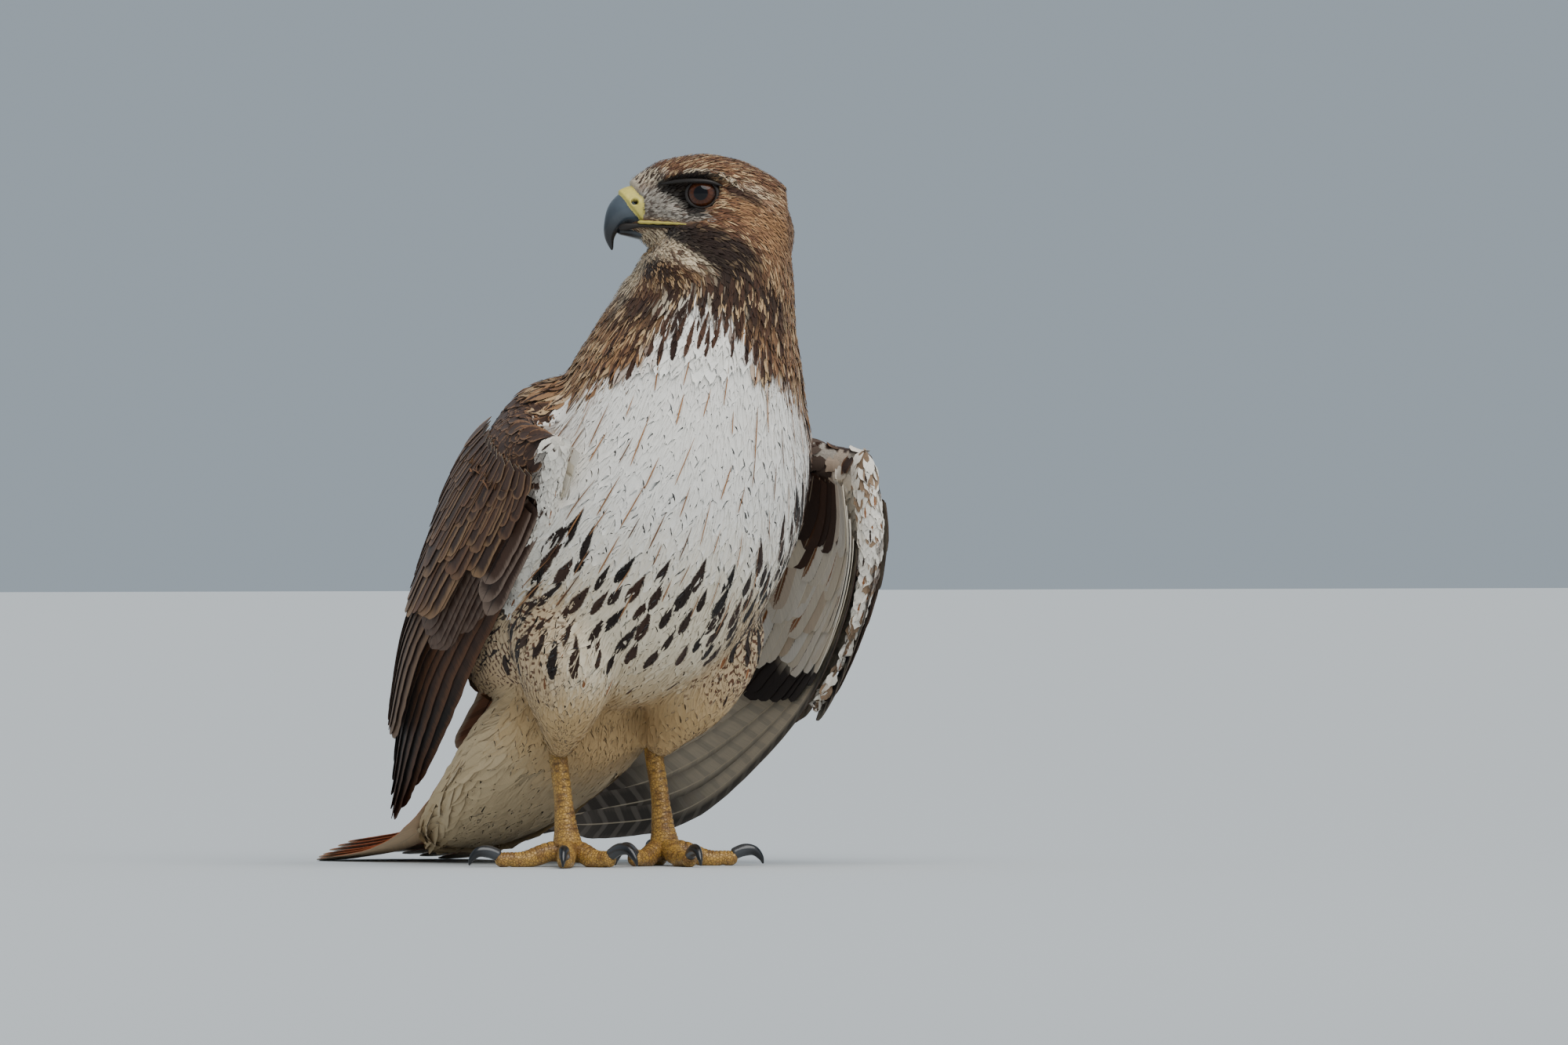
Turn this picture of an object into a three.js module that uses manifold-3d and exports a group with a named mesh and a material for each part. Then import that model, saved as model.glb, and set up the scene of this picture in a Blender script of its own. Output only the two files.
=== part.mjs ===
// A standing red-tailed hawk at life size, in millimetres: +Z up, breast towards -Y, the bird's left towards +X.
// The wings hang a little open, the head is turned to the bird's right, and the tail is laid on the floor.
import * as THREE from "three";
import { ParametricGeometry } from "three/addons/geometries/ParametricGeometry.js";
import { mergeVertices } from "three/addons/utils/BufferGeometryUtils.js";
import Module from "manifold-3d";

const wasm = await Module();
wasm.setup();
const { Manifold, Mesh } = wasm;

// Driving sizes
const GAP = 0.3; // clear space between neighbouring pieces
const BIRD_LEFT = new THREE.Vector3(1, 0, 0);

// Trunk: section centres from the rump up the back and neck into the head, with half width and half depth
const TRUNK_LINE = [
  [0, 98, 88], [0, 74, 103], [0, 44, 118], [0, 14, 134], [0, -14, 158], [0, -38, 188],
  [0, -56, 218], [0, -68, 247], [1, -77, 272], [3, -84, 294], [4, -85, 314], [2, -81, 332], [0, -79, 348],
];
const TRUNK_SIZE = [
  [24, 14], [43, 28], [59, 45], [69, 61], [76, 72], [77, 74], [72, 68], [61, 59], [52, 51], [42.5, 43], [38, 38], [28, 29], [20, 21],
];
const NECK_FLOOR = 248; // height on the trunk line where the torso ends and the neck starts
const NECK_TOP = 303; // and where the neck ends and the head starts
const SHOULDER = { x: 48, y: -16, z: 198, width: 38, depth: 46, height: 54 };
const VENT_LINE = [[0, 10, 84], [0, 50, 66], [0, 96, 36], [0, 134, 15], [0, 150, 10]];
const VENT_SIZE = [[40, 26], [49, 31], [44, 22], [32, 10], [20, 3.5]];

// Head, in its own frame: x towards the bill, y to the bird's left, z up
const HEAD_AT = new THREE.Vector3(2, -81, 332);
const HEAD_TURN = THREE.MathUtils.degToRad(153); // heading of the bill, from +X towards +Y
const HEAD_LINE = [
  [-45, 0, -10], [-37, 0, -10], [-24, 0, -6], [-10, 0, -2.7], [4, 0, 0], [16, 0, 2], [27, 0, 3.5], [36, 0, 3.5], [43, 0, 2.5], [47, 0, 2],
];
const HEAD_SIZE = [
  [12, 12], [24, 21.5], [31, 28], [34, 31.3], [32.5, 30.8], [26, 28], [19, 23.5], [14, 18.5], [11, 13], [9, 10],
];
const BROW_LINE = [[30, 12, 16], [21, 18.5, 18.5], [10, 25, 19.5], [-2, 29, 18], [-13, 29, 14]];
const BROW_SIZE = [[2, 2], [3.4, 3], [4, 3.4], [3.4, 3], [2, 2]];
const LORE = { x: 20, y: 28, z: 6.5, length: 13, width: 9, height: 8 }; // the hollow before each eye
const EYE = { x: 5.5, y: 21.5, z: 9.6, radius: 9.2, opening: 7.6, lid: 1.2 };
const EYE_AIM = new THREE.Vector3(0.33, 0.94, 0.02).normalize();
const BILL_LINE = [[29, 0, 2], [38, 0, 3], [45, 0, 0.2], [49.3, 0, -6], [50.8, 0, -12], [49.6, 0, -18.8]];
const BILL_SIZE = [[10.5, 11.5], [9.2, 10.4], [7.4, 7.6], [5, 4.6], [2.9, 2.7], [0.6, 0.6]];
const CERE_FACE = { x: 0.805, z: -0.592, reach: 31.1 }; // the plane where the soft cere ends and the horn starts
const NOSTRIL = { x: 38.2, y: 8.6, z: 5.5, radius: 1.5, depth: 3 };
const JAW_LINE = [[24, 0, -11.5], [33, 0, -10.4], [41, 0, -9.2], [47.5, 0, -9]];
const JAW_SIZE = [[9, 4.4], [7.4, 3.8], [5.4, 3], [2.4, 1.6]];
const GAPE_LINE = [[38, 10.6, -5.2], [29, 16.2, -5.6], [19, 23, -6.2], [11, 28.6, -7.2]];
const GAPE_SIZE = [[1.4, 1.1], [1.6, 1.4], [1.6, 1.3], [1, 0.8]];

// Legs, for the bird's left side; the right side mirrors x
const THIGH_LINE = [[46, -16, 142], [44.5, -19, 116], [39, -12, 90], [32, 2, 67], [29, 10, 54]];
const THIGH_SIZE = [[24, 28], [28, 33], [23, 26], [12, 13.5], [6.8, 7.4]];
const SHANK_LINE = [[29.4, 9.5, 76], [29.6, 9, 60], [30, 4, 38], [30, 1, 20], [30, -1, 9]];
const SHANK_SIZE = [[4.6, 5], [4.6, 5], [4.4, 5], [5.6, 6.4], [8, 8.6]];
const FOOT_TOP = 19; // height of the cut between tarsus and foot
const FEET = {
  right: { at: [-29, 0], heading: -125, side: -1 },
  left: { at: [30, 0], heading: -108, side: 1 },
};
const TOES = {
  hallux: { length: 23, turn: 176, thick: 4.2, claw: 27 },
  inner: { length: 31, turn: -48, thick: 4.3, claw: 25 },
  middle: { length: 44, turn: 2, thick: 4.1, claw: 23 },
  outer: { length: 38, turn: 80, thick: 3.9, claw: 20 },
};

// Wings: leading, middle and trailing lines from the wrist end to the wing tip
const WINGS = {
  right: {
    side: -1,
    lead: [[-92, -90, 220], [-86, -60, 184], [-82, -20, 148], [-72, 30, 106], [-58, 78, 70], [-41, 132, 42], [-20, 188, 23]],
    middle: [[-88, -58, 226], [-88, -12, 194], [-85, 31, 156], [-77, 73, 116], [-60, 112, 79], [-40, 150, 48], [-18, 189, 24]],
    trail: [[-68, -22, 236], [-68, 25, 212], [-56, 66, 179], [-42, 102, 143], [-30, 136, 102], [-22, 166, 58], [-16, 190, 25]],
  },
  left: {
    side: 1,
    lead: [[90, -94, 216], [107, -77, 156], [113, -36, 94], [112, 17, 50], [105, 80, 17], [89, 134, 11], [71, 182, 15]],
    middle: [[97, -60, 216], [111, -31, 177], [116, 14, 134], [115, 62, 96], [103, 108, 61], [88, 148, 37], [72, 183, 17]],
    trail: [[72, -22, 229], [72, 26, 209], [64, 70, 174], [56, 106, 134], [54, 138, 90], [62, 163, 48], [73, 184, 19]],
  },
};
const ARM = { end: 0.155, top: 9.6, under: 13.4 }; // the fleshy front of the wing
const WING_LAYERS = { low: -13.4, high: 9.8 }; // heights over the wing surface that the feathers take up
// Each row of wing feathers runs evenly from its first feather at the leading edge to its last at the body.
// Places are [share of the way to the wing tip, share of the way from the leading edge to the trailing edge].
const ROWS = {
  primaries: { count: 6, root: [[0.184, 0.04], [0.184, 0.33]], level: [-8.6, -1.6], width: [16, 20], roll: 0 },
  secondaries: { count: 7, root: [[0.184, 0.34], [0.184, 0.95]], level: [1.5, 1.5], width: [24, 26], roll: 0.13 },
  greaterCoverts: { count: 6, root: [[0.14, 0.12], [0.14, 0.9]], level: [5.6, 5.6], width: [20, 23], roll: 0.12 },
  medianCoverts: { count: 6, root: [[0.14, 0.12], [0.14, 0.9]], level: [8.4, 8.4], width: [19, 22], roll: 0.12 },
  underCoverts: { count: 6, root: [[0.14, 0.12], [0.14, 0.88]], level: [-11.8, -11.8], width: [20, 23], roll: -0.12 },
};
// Where the tips fall, from the first feather of a row to its last
const TIPS = {
  primaries: [[0.93, 0.08], [0.99, 0.36], [0.99, 0.6], [0.93, 0.74], [0.86, 0.82], [0.78, 0.88]],
  secondaries: [[0.7, 0.56], [0.71, 0.76], [0.66, 0.93], [0.57, 0.99]],
  greaterCoverts: [[0.4, 0.14], [0.44, 0.5], [0.4, 0.94]],
  medianCoverts: [[0.25, 0.12], [0.29, 0.5], [0.27, 0.93]],
  underCoverts: [[0.38, 0.12], [0.43, 0.5], [0.36, 0.9]],
};
const WING_ROOM = 1.8; // clear space between wing and body
const VANE = 0.6; // thickness of a feather

// Tail
const TAIL = { root: [0, 64, 114.4], steep: 52, shallow: 6, bend: [0.35, 0.78], length: 212 };
const TAIL_HALF = { root: 16, tip: 47, hang: 4 }; // half width at each end, and how far the edges droop
const TAIL_LAYER = { low: -8.4, high: 1 };
const TAIL_LEVELS = { right: [0, -1.9, -3.8, -5.7, -6.65, -7.6], left: [-0.95, -2.85, -4.75, -5.7, -6.65, -7.6] };
const TAIL_WIDTH = { root: 13, tip: 25 };

// Shape helpers
const vec = (p) => new THREE.Vector3(...p);
const through = (points) => new THREE.CatmullRomCurve3(points.map(vec));
const throughSizes = (sizes) => through(sizes.map(([a, b]) => [a, b, 0]));
const mirrored = (points) => points.map(([x, y, z]) => [-x, y, z]);
const mix = (a, b, t) => a + (b - a) * t;

// A closed mesh as a solid, its faces turned outwards
function solidOf(geometry) {
  const flat = geometry.index ? geometry.toNonIndexed() : geometry;
  const bare = new THREE.BufferGeometry().setAttribute("position", flat.getAttribute("position"));
  const merged = mergeVertices(bare, 1e-3);
  const corners = merged.index.array;
  const kept = [];
  for (let i = 0; i < corners.length; i += 3) {
    const [a, b, c] = corners.slice(i, i + 3);
    if (a !== b && b !== c && c !== a) kept.push(a, b, c);
  }
  const at = (i) => new THREE.Vector3().fromBufferAttribute(merged.attributes.position, i);
  let volume = 0;
  for (let i = 0; i < kept.length; i += 3) volume += at(kept[i]).cross(at(kept[i + 1])).dot(at(kept[i + 2]));
  if (volume < 0) for (let i = 0; i < kept.length; i += 3) [kept[i], kept[i + 1]] = [kept[i + 1], kept[i]];
  return new Manifold(
    new Mesh({ numProp: 3, vertProperties: merged.attributes.position.array, triVerts: new Uint32Array(kept) }),
  );
}

// The largest closed surface of a solid
const largest = (solid) => solid.decompose().sort((a, b) => b.volume() - a.volume())[0];
const joined = (solids) => solids.reduce((whole, solid) => whole.add(solid));
const placed = (solid, matrix) => solid.transform(matrix.elements);

// A round body along a line; extra thickens it all over, for the clearance round a neighbour
function limb(points, sizes, { around = 14, along = 10, side = BIRD_LEFT, extra = 0, ends = [0.12, 0.12] } = {}) {
  const line = through(points);
  const size = throughSizes(sizes);
  return solidOf(
    new ParametricGeometry(
      (u, v, target) => {
        const t = (1 - Math.cos(Math.PI * v)) / 2;
        const near = Math.min(1, t / ends[0], (1 - t) / ends[1]);
        const round = Math.sqrt(Math.max(0, 1 - (1 - near) ** 2));
        const ahead = line.getTangent(t);
        const across = side.clone().addScaledVector(ahead, -side.dot(ahead)).normalize();
        const deep = new THREE.Vector3().crossVectors(ahead, across);
        const { x: half, y: depth } = size.getPoint(t);
        const angle = 2 * Math.PI * (u % 1);
        target
          .copy(line.getPoint(t))
          .addScaledVector(ahead, extra * (2 * t - 1))
          .addScaledVector(across, Math.cos(angle) * (half + extra) * round)
          .addScaledVector(deep, Math.sin(angle) * (depth + extra) * round);
      },
      around,
      along,
    ),
  );
}

// A closed sheet from two matching grids of points, its triangles alike on both faces
function sheet(top, under) {
  const rows = top.length;
  const cols = top[0].length;
  const points = [...top.flat(), ...under.flat()];
  const at = (i, j, face) => face * rows * cols + i * cols + j;
  const faces = [];
  const quad = (a, b, c, d) => faces.push(a, b, c, a, c, d);
  for (let i = 0; i + 1 < rows; i++)
    for (let j = 0; j + 1 < cols; j++) {
      quad(at(i, j, 0), at(i + 1, j, 0), at(i + 1, j + 1, 0), at(i, j + 1, 0));
      faces.push(at(i, j, 1), at(i + 1, j + 1, 1), at(i + 1, j, 1));
      faces.push(at(i, j, 1), at(i, j + 1, 1), at(i + 1, j + 1, 1));
    }
  for (let i = 0; i + 1 < rows; i++) {
    quad(at(i, 0, 1), at(i + 1, 0, 1), at(i + 1, 0, 0), at(i, 0, 0));
    quad(at(i, cols - 1, 0), at(i + 1, cols - 1, 0), at(i + 1, cols - 1, 1), at(i, cols - 1, 1));
  }
  for (let j = 0; j + 1 < cols; j++) {
    quad(at(0, j, 0), at(0, j + 1, 0), at(0, j + 1, 1), at(0, j, 1));
    quad(at(rows - 1, j, 1), at(rows - 1, j + 1, 1), at(rows - 1, j + 1, 0), at(rows - 1, j, 0));
  }
  const geometry = new THREE.BufferGeometry();
  geometry.setAttribute("position", new THREE.Float32BufferAttribute(points.flatMap((p) => p.toArray()), 3));
  geometry.setIndex(faces);
  return solidOf(geometry);
}

// A curved surface through three lines, with its outward normal
function surfaceThrough({ lead, middle, trail, side }) {
  const [a, b, c] = [lead, middle, trail].map(through);
  const span = a.getLength();
  const point = (u, v) => {
    const t = Math.min(1, Math.max(0, u));
    const before = b.getTangent(t).multiplyScalar((u - t) * span);
    return before
      .addScaledVector(a.getPoint(t), (1 - v) * (1 - 2 * v))
      .addScaledVector(b.getPoint(t), 4 * v * (1 - v))
      .addScaledVector(c.getPoint(t), v * (2 * v - 1));
  };
  const normal = (u, v) => {
    const step = 0.02;
    const [u0, u1] = [Math.max(0, Math.min(u, 0.94) - step), Math.max(0, Math.min(u, 0.94)) + step];
    const alongU = point(u1, v).sub(point(u0, v));
    const alongV = point((u0 + u1) / 2, v + step).sub(point((u0 + u1) / 2, v - step));
    return alongU.cross(alongV).normalize().multiplyScalar(side);
  };
  return { point, normal };
}

// A slab of a surface between two heights, which may change over it
function slab(surface, [u0, u1], [v0, v1], low, high, rows = 8, cols = 6) {
  const height = (h, u, v) => (typeof h === "function" ? h(u, v) : h);
  const grid = (h) =>
    Array.from({ length: rows + 1 }, (_, i) =>
      Array.from({ length: cols + 1 }, (_, j) => {
        const [u, v] = [mix(u0, u1, i / rows), mix(v0, v1, j / cols)];
        return surface.point(u, v).addScaledVector(surface.normal(u, v), height(h, u, v));
      }),
    );
  return sheet(grid(high), grid(low));
}

// Rows of a feather from u = a to b: on a grid that all feathers share, so that neighbours bend alike
function stations(a, b, step) {
  const inner = [];
  for (let k = Math.ceil(a / step + 0.3); k * step < b - 0.55 * step; k++) inner.push(k * step);
  return [a, ...inner, b - 0.2 * step, b];
}

// One feather over a surface: a thin vane from root to tip, bowed like the surface, leaning by roll, its tip rounded
function vane(surface, { root, tip, width, level, roll = 0, step = 0.1, narrow = 0.7, thick = VANE }) {
  const [top, under] = [[], []];
  for (const u of stations(root[0], tip[0], step)) {
    const t = (u - root[0]) / (tip[0] - root[0]);
    const v = mix(root[1], tip[1], t);
    const normal = surface.normal(u, v);
    const here = surface.point(u, v);
    const ahead = surface.point(u + 0.02, mix(root[1], tip[1], t + 0.02 / (tip[0] - root[0]))).sub(here).normalize();
    const over = surface.point(u, v + 0.08).sub(surface.point(u, v - 0.08));
    const bend = surface.normal(u, v + 0.08).sub(surface.normal(u, v - 0.08)).dot(over) / Math.max(60, over.lengthSq());
    const across = new THREE.Vector3().crossVectors(normal, ahead).normalize();
    if (across.dot(over) < 0) across.negate();
    const last = u === tip[0];
    const half = (width / 2) * (last ? 0.3 : tip[0] - u < 0.3 * step ? 0.82 : mix(narrow, 1, Math.min(1, t / 0.4)));
    const thin = thick * (last ? 0.7 : 1);
    const row = [-1, 0, 1].map((s) =>
      here
        .clone()
        .addScaledVector(across, s * half)
        .addScaledVector(normal, level - s * roll * half - (Math.max(0, Math.min(0.03, bend)) * (s * half) ** 2) / 2),
    );
    top.push(row.map((p) => p.clone().addScaledVector(normal, thin / 2)));
    under.push(row.map((p) => p.clone().addScaledVector(normal, -thin / 2)));
  }
  return sheet(top, under);
}

// A point a share t of the way along a short list of places
function along(places, t) {
  const at = Math.min(places.length - 1.0001, t * (places.length - 1));
  const i = Math.floor(at);
  return places[i].map((a, k) => mix(a, places[i + 1][k], at - i));
}

// A whole row of wing feathers
function rowOf(surface, name) {
  const { count, root, level, width, roll } = ROWS[name];
  return Array.from({ length: count }, (_, i) => {
    const t = i / (count - 1);
    const [high, wide] = [mix(...level, t), mix(...width, t)];
    return vane(surface, { root: along(root, t), tip: along(TIPS[name], t), width: wide, level: high, roll });
  });
}

const wingSurface = { right: surfaceThrough(WINGS.right), left: surfaceThrough(WINGS.left) };

// The tail as a surface: u runs from root to tip, v from the bird's right edge to its left
const tailSurface = (() => {
  const steps = 40;
  const line = [vec(TAIL.root)];
  for (let i = 0; i < steps; i++) {
    const bent = THREE.MathUtils.smoothstep((i + 0.5) / steps, ...TAIL.bend);
    const slope = THREE.MathUtils.degToRad(mix(TAIL.steep, TAIL.shallow, bent));
    const step = new THREE.Vector3(0, Math.cos(slope), -Math.sin(slope)).multiplyScalar(TAIL.length / steps);
    line.push(line[i].clone().add(step));
  }
  const curve = new THREE.CatmullRomCurve3(line);
  const point = (u, v) => {
    const s = 2 * v - 1;
    const t = Math.min(1, Math.max(0, u));
    const half = mix(TAIL_HALF.root, TAIL_HALF.tip, t ** 0.8);
    const before = curve.getTangent(t).multiplyScalar((u - t) * TAIL.length);
    return curve.getPoint(t).add(before).add(new THREE.Vector3(s * half, 0, -TAIL_HALF.hang * s * s));
  };
  const normal = (u) => {
    const ahead = curve.getTangent(Math.min(1, Math.max(0, u)));
    return new THREE.Vector3(0, -ahead.z, ahead.y).multiplyScalar(Math.sign(ahead.y));
  };
  return { point, normal };
})();

// The trunk, whole, and where its cuts lie
const trunk = limb(TRUNK_LINE, TRUNK_SIZE, { around: 24, along: 20, ends: [0.05, 0.05] });
const trunkLine = through(TRUNK_LINE);
const cutAt = (height) => {
  let [low, high] = [0, 1];
  for (let i = 0; i < 30; i++) {
    const middle = (low + high) / 2;
    if (trunkLine.getPoint(middle).z < height) low = middle;
    else high = middle;
  }
  const normal = trunkLine.getTangent(low);
  return { normal: normal.toArray(), reach: normal.dot(trunkLine.getPoint(low)) };
};
const above = (solid, { normal, reach }) => solid.trimByPlane(normal, reach + GAP / 2);
const below = (solid, { normal, reach }) => solid.trimByPlane(normal.map((n) => -n), -(reach - GAP / 2));
const neckFloor = cutAt(NECK_FLOOR);
const neckTop = cutAt(NECK_TOP);
const headPlace = new THREE.Matrix4().makeRotationZ(HEAD_TURN).setPosition(HEAD_AT);
const leftward = new THREE.Vector3(0, 1, 0);
const skull = limb(HEAD_LINE, HEAD_SIZE, { around: 20, along: 14, side: leftward, ends: [0.12, 0.1] });
const neckAndHead = above(trunk, neckFloor).add(placed(skull, headPlace));

// Wings
const flight = {};
const arms = {};
const clearance = {};
for (const [name, surface] of Object.entries(wingSurface)) {
  const edge = (v) => Math.sqrt(Math.max(0.06, 1 - (2 * v - 1) ** 4));
  const front = (u) => Math.sqrt(Math.max(0.05, 1 - (1 - Math.min(1, Math.max(0, u) / 0.05)) ** 2));
  const high = (by) => (u, v) => ARM.top * edge(v) * front(u) + by;
  const low = (by) => (u, v) => -ARM.under * edge(v) * front(u) - by;
  const core = slab(surface, [0, ARM.end], [0, 1], low(0), high(0), 6, 7);
  const rows = ["greaterCoverts", "medianCoverts", "underCoverts"].flatMap((row) => rowOf(surface, row));
  arms[name] = largest(joined([core, ...rows]));
  const rootBlock = (v0, v1, from, to) => slab(surface, [ARM.end + 0.01, 0.21], [v0, v1], from, to, 1, 4);
  const [inner, outer] = [rowOf(surface, "secondaries"), rowOf(surface, "primaries")];
  flight[name] = {
    secondaries: largest(joined([rootBlock(0.3, 0.97, 0, 2.8), ...inner])),
    primaries: largest(joined([rootBlock(0.03, 0.35, -8.4, -1.1), ...outer])),
  };
  const layer = [WING_LAYERS.low - WING_ROOM, WING_LAYERS.high + WING_ROOM];
  clearance[name] = slab(surface, [-0.006, ARM.end], [-0.02, 1.02], low(WING_ROOM), high(WING_ROOM), 6, 7).add(
    slab(surface, [0.06, 0.99], [-0.1, 1.05], ...layer, 10, 5),
  );
}

// Tail
const tailVanes = [[-1, "right"], [1, "left"]].flatMap(([side, name]) =>
  TAIL_LEVELS[name].map((level, k) =>
    vane(tailSurface, {
      root: [0.01, 0.5 + side * (0.05 + 0.055 * k)], tip: [1 - 0.004 * k * k, 0.5 + side * (0.035 + 0.082 * k)],
      width: TAIL_WIDTH.tip - 0.6 * k, thick: 0.5, level, step: 0.125, narrow: TAIL_WIDTH.root / TAIL_WIDTH.tip,
    }),
  ),
);
const tailRoot = slab(tailSurface, [0, 0.1], [0.12, 0.88], TAIL_LAYER.low + 0.4, TAIL_LAYER.high - 0.5, 2, 4);
const tail = joined([tailRoot, ...tailVanes]).trimByPlane([0, 0, 1], 0);
const tailRoom = slab(tailSurface, [-0.02, 1], [-0.1, 1.1], TAIL_LAYER.low - WING_ROOM, TAIL_LAYER.high + WING_ROOM, 12, 4);

// Legs
const thighs = {};
const shanks = {};
const legRoom = {};
for (const name of ["left", "right"]) {
  const side = (points) => (name === "left" ? points : mirrored(points));
  const shankRoom = limb(side(SHANK_LINE), SHANK_SIZE, { extra: GAP, along: 12 });
  thighs[name] = largest(limb(side(THIGH_LINE), THIGH_SIZE, { around: 14, along: 10 }).subtract(shankRoom));
  shanks[name] = limb(side(SHANK_LINE), SHANK_SIZE, { along: 12, ends: [0.1, 0.05] }).trimByPlane([0, 0, 1], FOOT_TOP + GAP / 2);
  legRoom[name] = limb(side(THIGH_LINE), THIGH_SIZE, { around: 14, along: 10, extra: WING_ROOM });
}

// One foot in its own frame: x towards the middle toe, y to the left, z up
function footOf({ side }) {
  const claws = {};
  const toes = [];
  const clawRooms = [];
  for (const [name, { length, turn, thick, claw }] of Object.entries(TOES)) {
    const spin = new THREE.Matrix4().makeRotationZ(THREE.MathUtils.degToRad(side * turn));
    const across = new THREE.Vector3(0, 1, 0);
    const line = [[-2, 0, 9], [length * 0.28, 0, 7.4], [length * 0.6, 0, thick - 0.2], [length * 0.82, 0, thick], [length, 0, thick - 0.3]];
    const size = [[5.6, 6], [thick + 0.8, thick + 1.2], [thick + 0.5, thick + 0.5], [thick - 0.4, thick - 0.2], [thick, thick]];
    toes.push(placed(limb(line, size, { around: 9, along: 8, side: across }), spin));
    const arc = claw / 25;
    const clawLine = [
      [length - 3, 0, thick + 1.6], [length + 4 * arc, 0, thick + 5 * arc], [length + 10.5 * arc, 0, thick + 4.6 * arc],
      [length + 15 * arc, 0, thick + 0.2], [length + 16.5 * arc, 0, 0.9],
    ];
    const clawSize = [[2.9, 3], [2.8, 3.2], [2.2, 2.6], [1.3, 1.5], [0.4, 0.4]];
    const clawOptions = { around: 7, along: 7, side: across, ends: [0.06, 0.03] };
    claws[name] = placed(limb(clawLine, clawSize, clawOptions), spin);
    clawRooms.push(placed(limb(clawLine, clawSize, { ...clawOptions, extra: GAP }), spin));
  }
  return { toes: joined(toes), claws, clawRooms };
}

const feet = {};
for (const [name, foot] of Object.entries(FEET)) {
  const shank = limb(name === "left" ? SHANK_LINE : mirrored(SHANK_LINE), SHANK_SIZE, { along: 12, ends: [0.1, 0.05] });
  const place = new THREE.Matrix4()
    .makeRotationZ(THREE.MathUtils.degToRad(foot.heading))
    .setPosition(foot.at[0], foot.at[1], 0);
  const { toes, claws, clawRooms } = footOf(foot);
  const ankle = placed(shank, place.clone().invert()).trimByPlane([0, 0, -1], -(FOOT_TOP - GAP / 2));
  const whole = toes.add(ankle).trimByPlane([0, 0, 1], 0);
  feet[name] = { place, claws, foot: largest(clawRooms.reduce((rest, room) => rest.subtract(room), whole)) };
}

// Torso: trunk, shoulders and the feathers under the tail, cut back from wings, thighs and tail
const shoulderOf = (side) => {
  const shape = new THREE.SphereGeometry(1, 14, 9);
  shape.scale(SHOULDER.width, SHOULDER.depth, SHOULDER.height).rotateX(THREE.MathUtils.degToRad(28));
  shape.translate(side * SHOULDER.x, SHOULDER.y, SHOULDER.z);
  return solidOf(shape);
};
const vent = limb(VENT_LINE, VENT_SIZE, { around: 16, along: 12 });
const neck = largest(below(neckAndHead, neckTop));
const torso = largest(
  [clearance.right, clearance.left, legRoom.right, legRoom.left, tailRoom].reduce(
    (rest, room) => rest.subtract(room),
    below(joined([trunk, shoulderOf(1), shoulderOf(-1), vent]), neckFloor).trimByPlane([0, 0, 1], 1),
  ),
);

// Head
const bothSides = (points) => [points, points.map(([x, y, z]) => [x, -y, z])];
const browOptions = { around: 8, along: 8, side: leftward };
const billOptions = { around: 14, along: 12, side: leftward, ends: [0.05, 0.04] };
const jawOptions = { around: 10, along: 8, side: leftward };
const gapeOptions = { around: 6, along: 6, side: leftward };
const bill = limb(BILL_LINE, BILL_SIZE, billOptions);
const billRoom = limb(BILL_LINE, BILL_SIZE, { ...billOptions, extra: GAP });
const jawRoom = limb(JAW_LINE, JAW_SIZE, { ...jawOptions, extra: GAP });
const ball = (radius, rings = 12) => {
  const shape = new THREE.SphereGeometry(radius, rings * 2, rings);
  return shape;
};
const eyeAt = (side) => new THREE.Vector3(EYE.x, side * EYE.y, EYE.z);
const aim = (side) => new THREE.Vector3(EYE_AIM.x, side * EYE_AIM.y, EYE_AIM.z);
function eyelid(side) {
  const reach = Math.sqrt(EYE.radius ** 2 - EYE.opening ** 2);
  const ring = new THREE.TorusGeometry(EYE.opening + 0.5, EYE.lid, 6, 18);
  const turn = new THREE.Quaternion().setFromUnitVectors(new THREE.Vector3(0, 0, 1), aim(side));
  ring.applyQuaternion(turn).translate(...eyeAt(side).addScaledVector(aim(side), reach).toArray());
  return solidOf(ring);
}
function loreHollow(side) {
  const shape = ball(1, 8).scale(LORE.length, LORE.width, LORE.height).translate(LORE.x, side * LORE.y, LORE.z);
  return solidOf(shape);
}
const eyeBall = (side, extra = 0) => solidOf(ball(EYE.radius + extra, 8).translate(...eyeAt(side).toArray()));
const skullAndNape = placed(above(neckAndHead, neckTop), headPlace.clone().invert());
const head = largest(
  [billRoom, jawRoom, eyeBall(1, GAP), eyeBall(-1, GAP),
    ...bothSides(GAPE_LINE).map((line) => limb(line, GAPE_SIZE, { ...gapeOptions, extra: GAP }))].reduce(
    (rest, room) => rest.subtract(room),
    joined([
      skullAndNape.subtract(loreHollow(1)).subtract(loreHollow(-1)),
      ...bothSides(BROW_LINE).map((line) => limb(line, BROW_SIZE, browOptions)),
      eyelid(1),
      eyelid(-1),
    ]),
  ),
);
const cereNormal = [CERE_FACE.x, 0, CERE_FACE.z];
const horn = bill.trimByPlane(cereNormal, CERE_FACE.reach + GAP / 2);
const nostril = (side) => {
  const shape = new THREE.CylinderGeometry(NOSTRIL.radius, NOSTRIL.radius, NOSTRIL.depth, 8);
  return solidOf(shape.translate(NOSTRIL.x, side * NOSTRIL.y, NOSTRIL.z));
};
const cere = bill
  .trimByPlane(cereNormal.map((n) => -n), -(CERE_FACE.reach - GAP / 2))
  .subtract(nostril(1))
  .subtract(nostril(-1));
const jaw = largest(limb(JAW_LINE, JAW_SIZE, jawOptions).subtract(billRoom));

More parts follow.
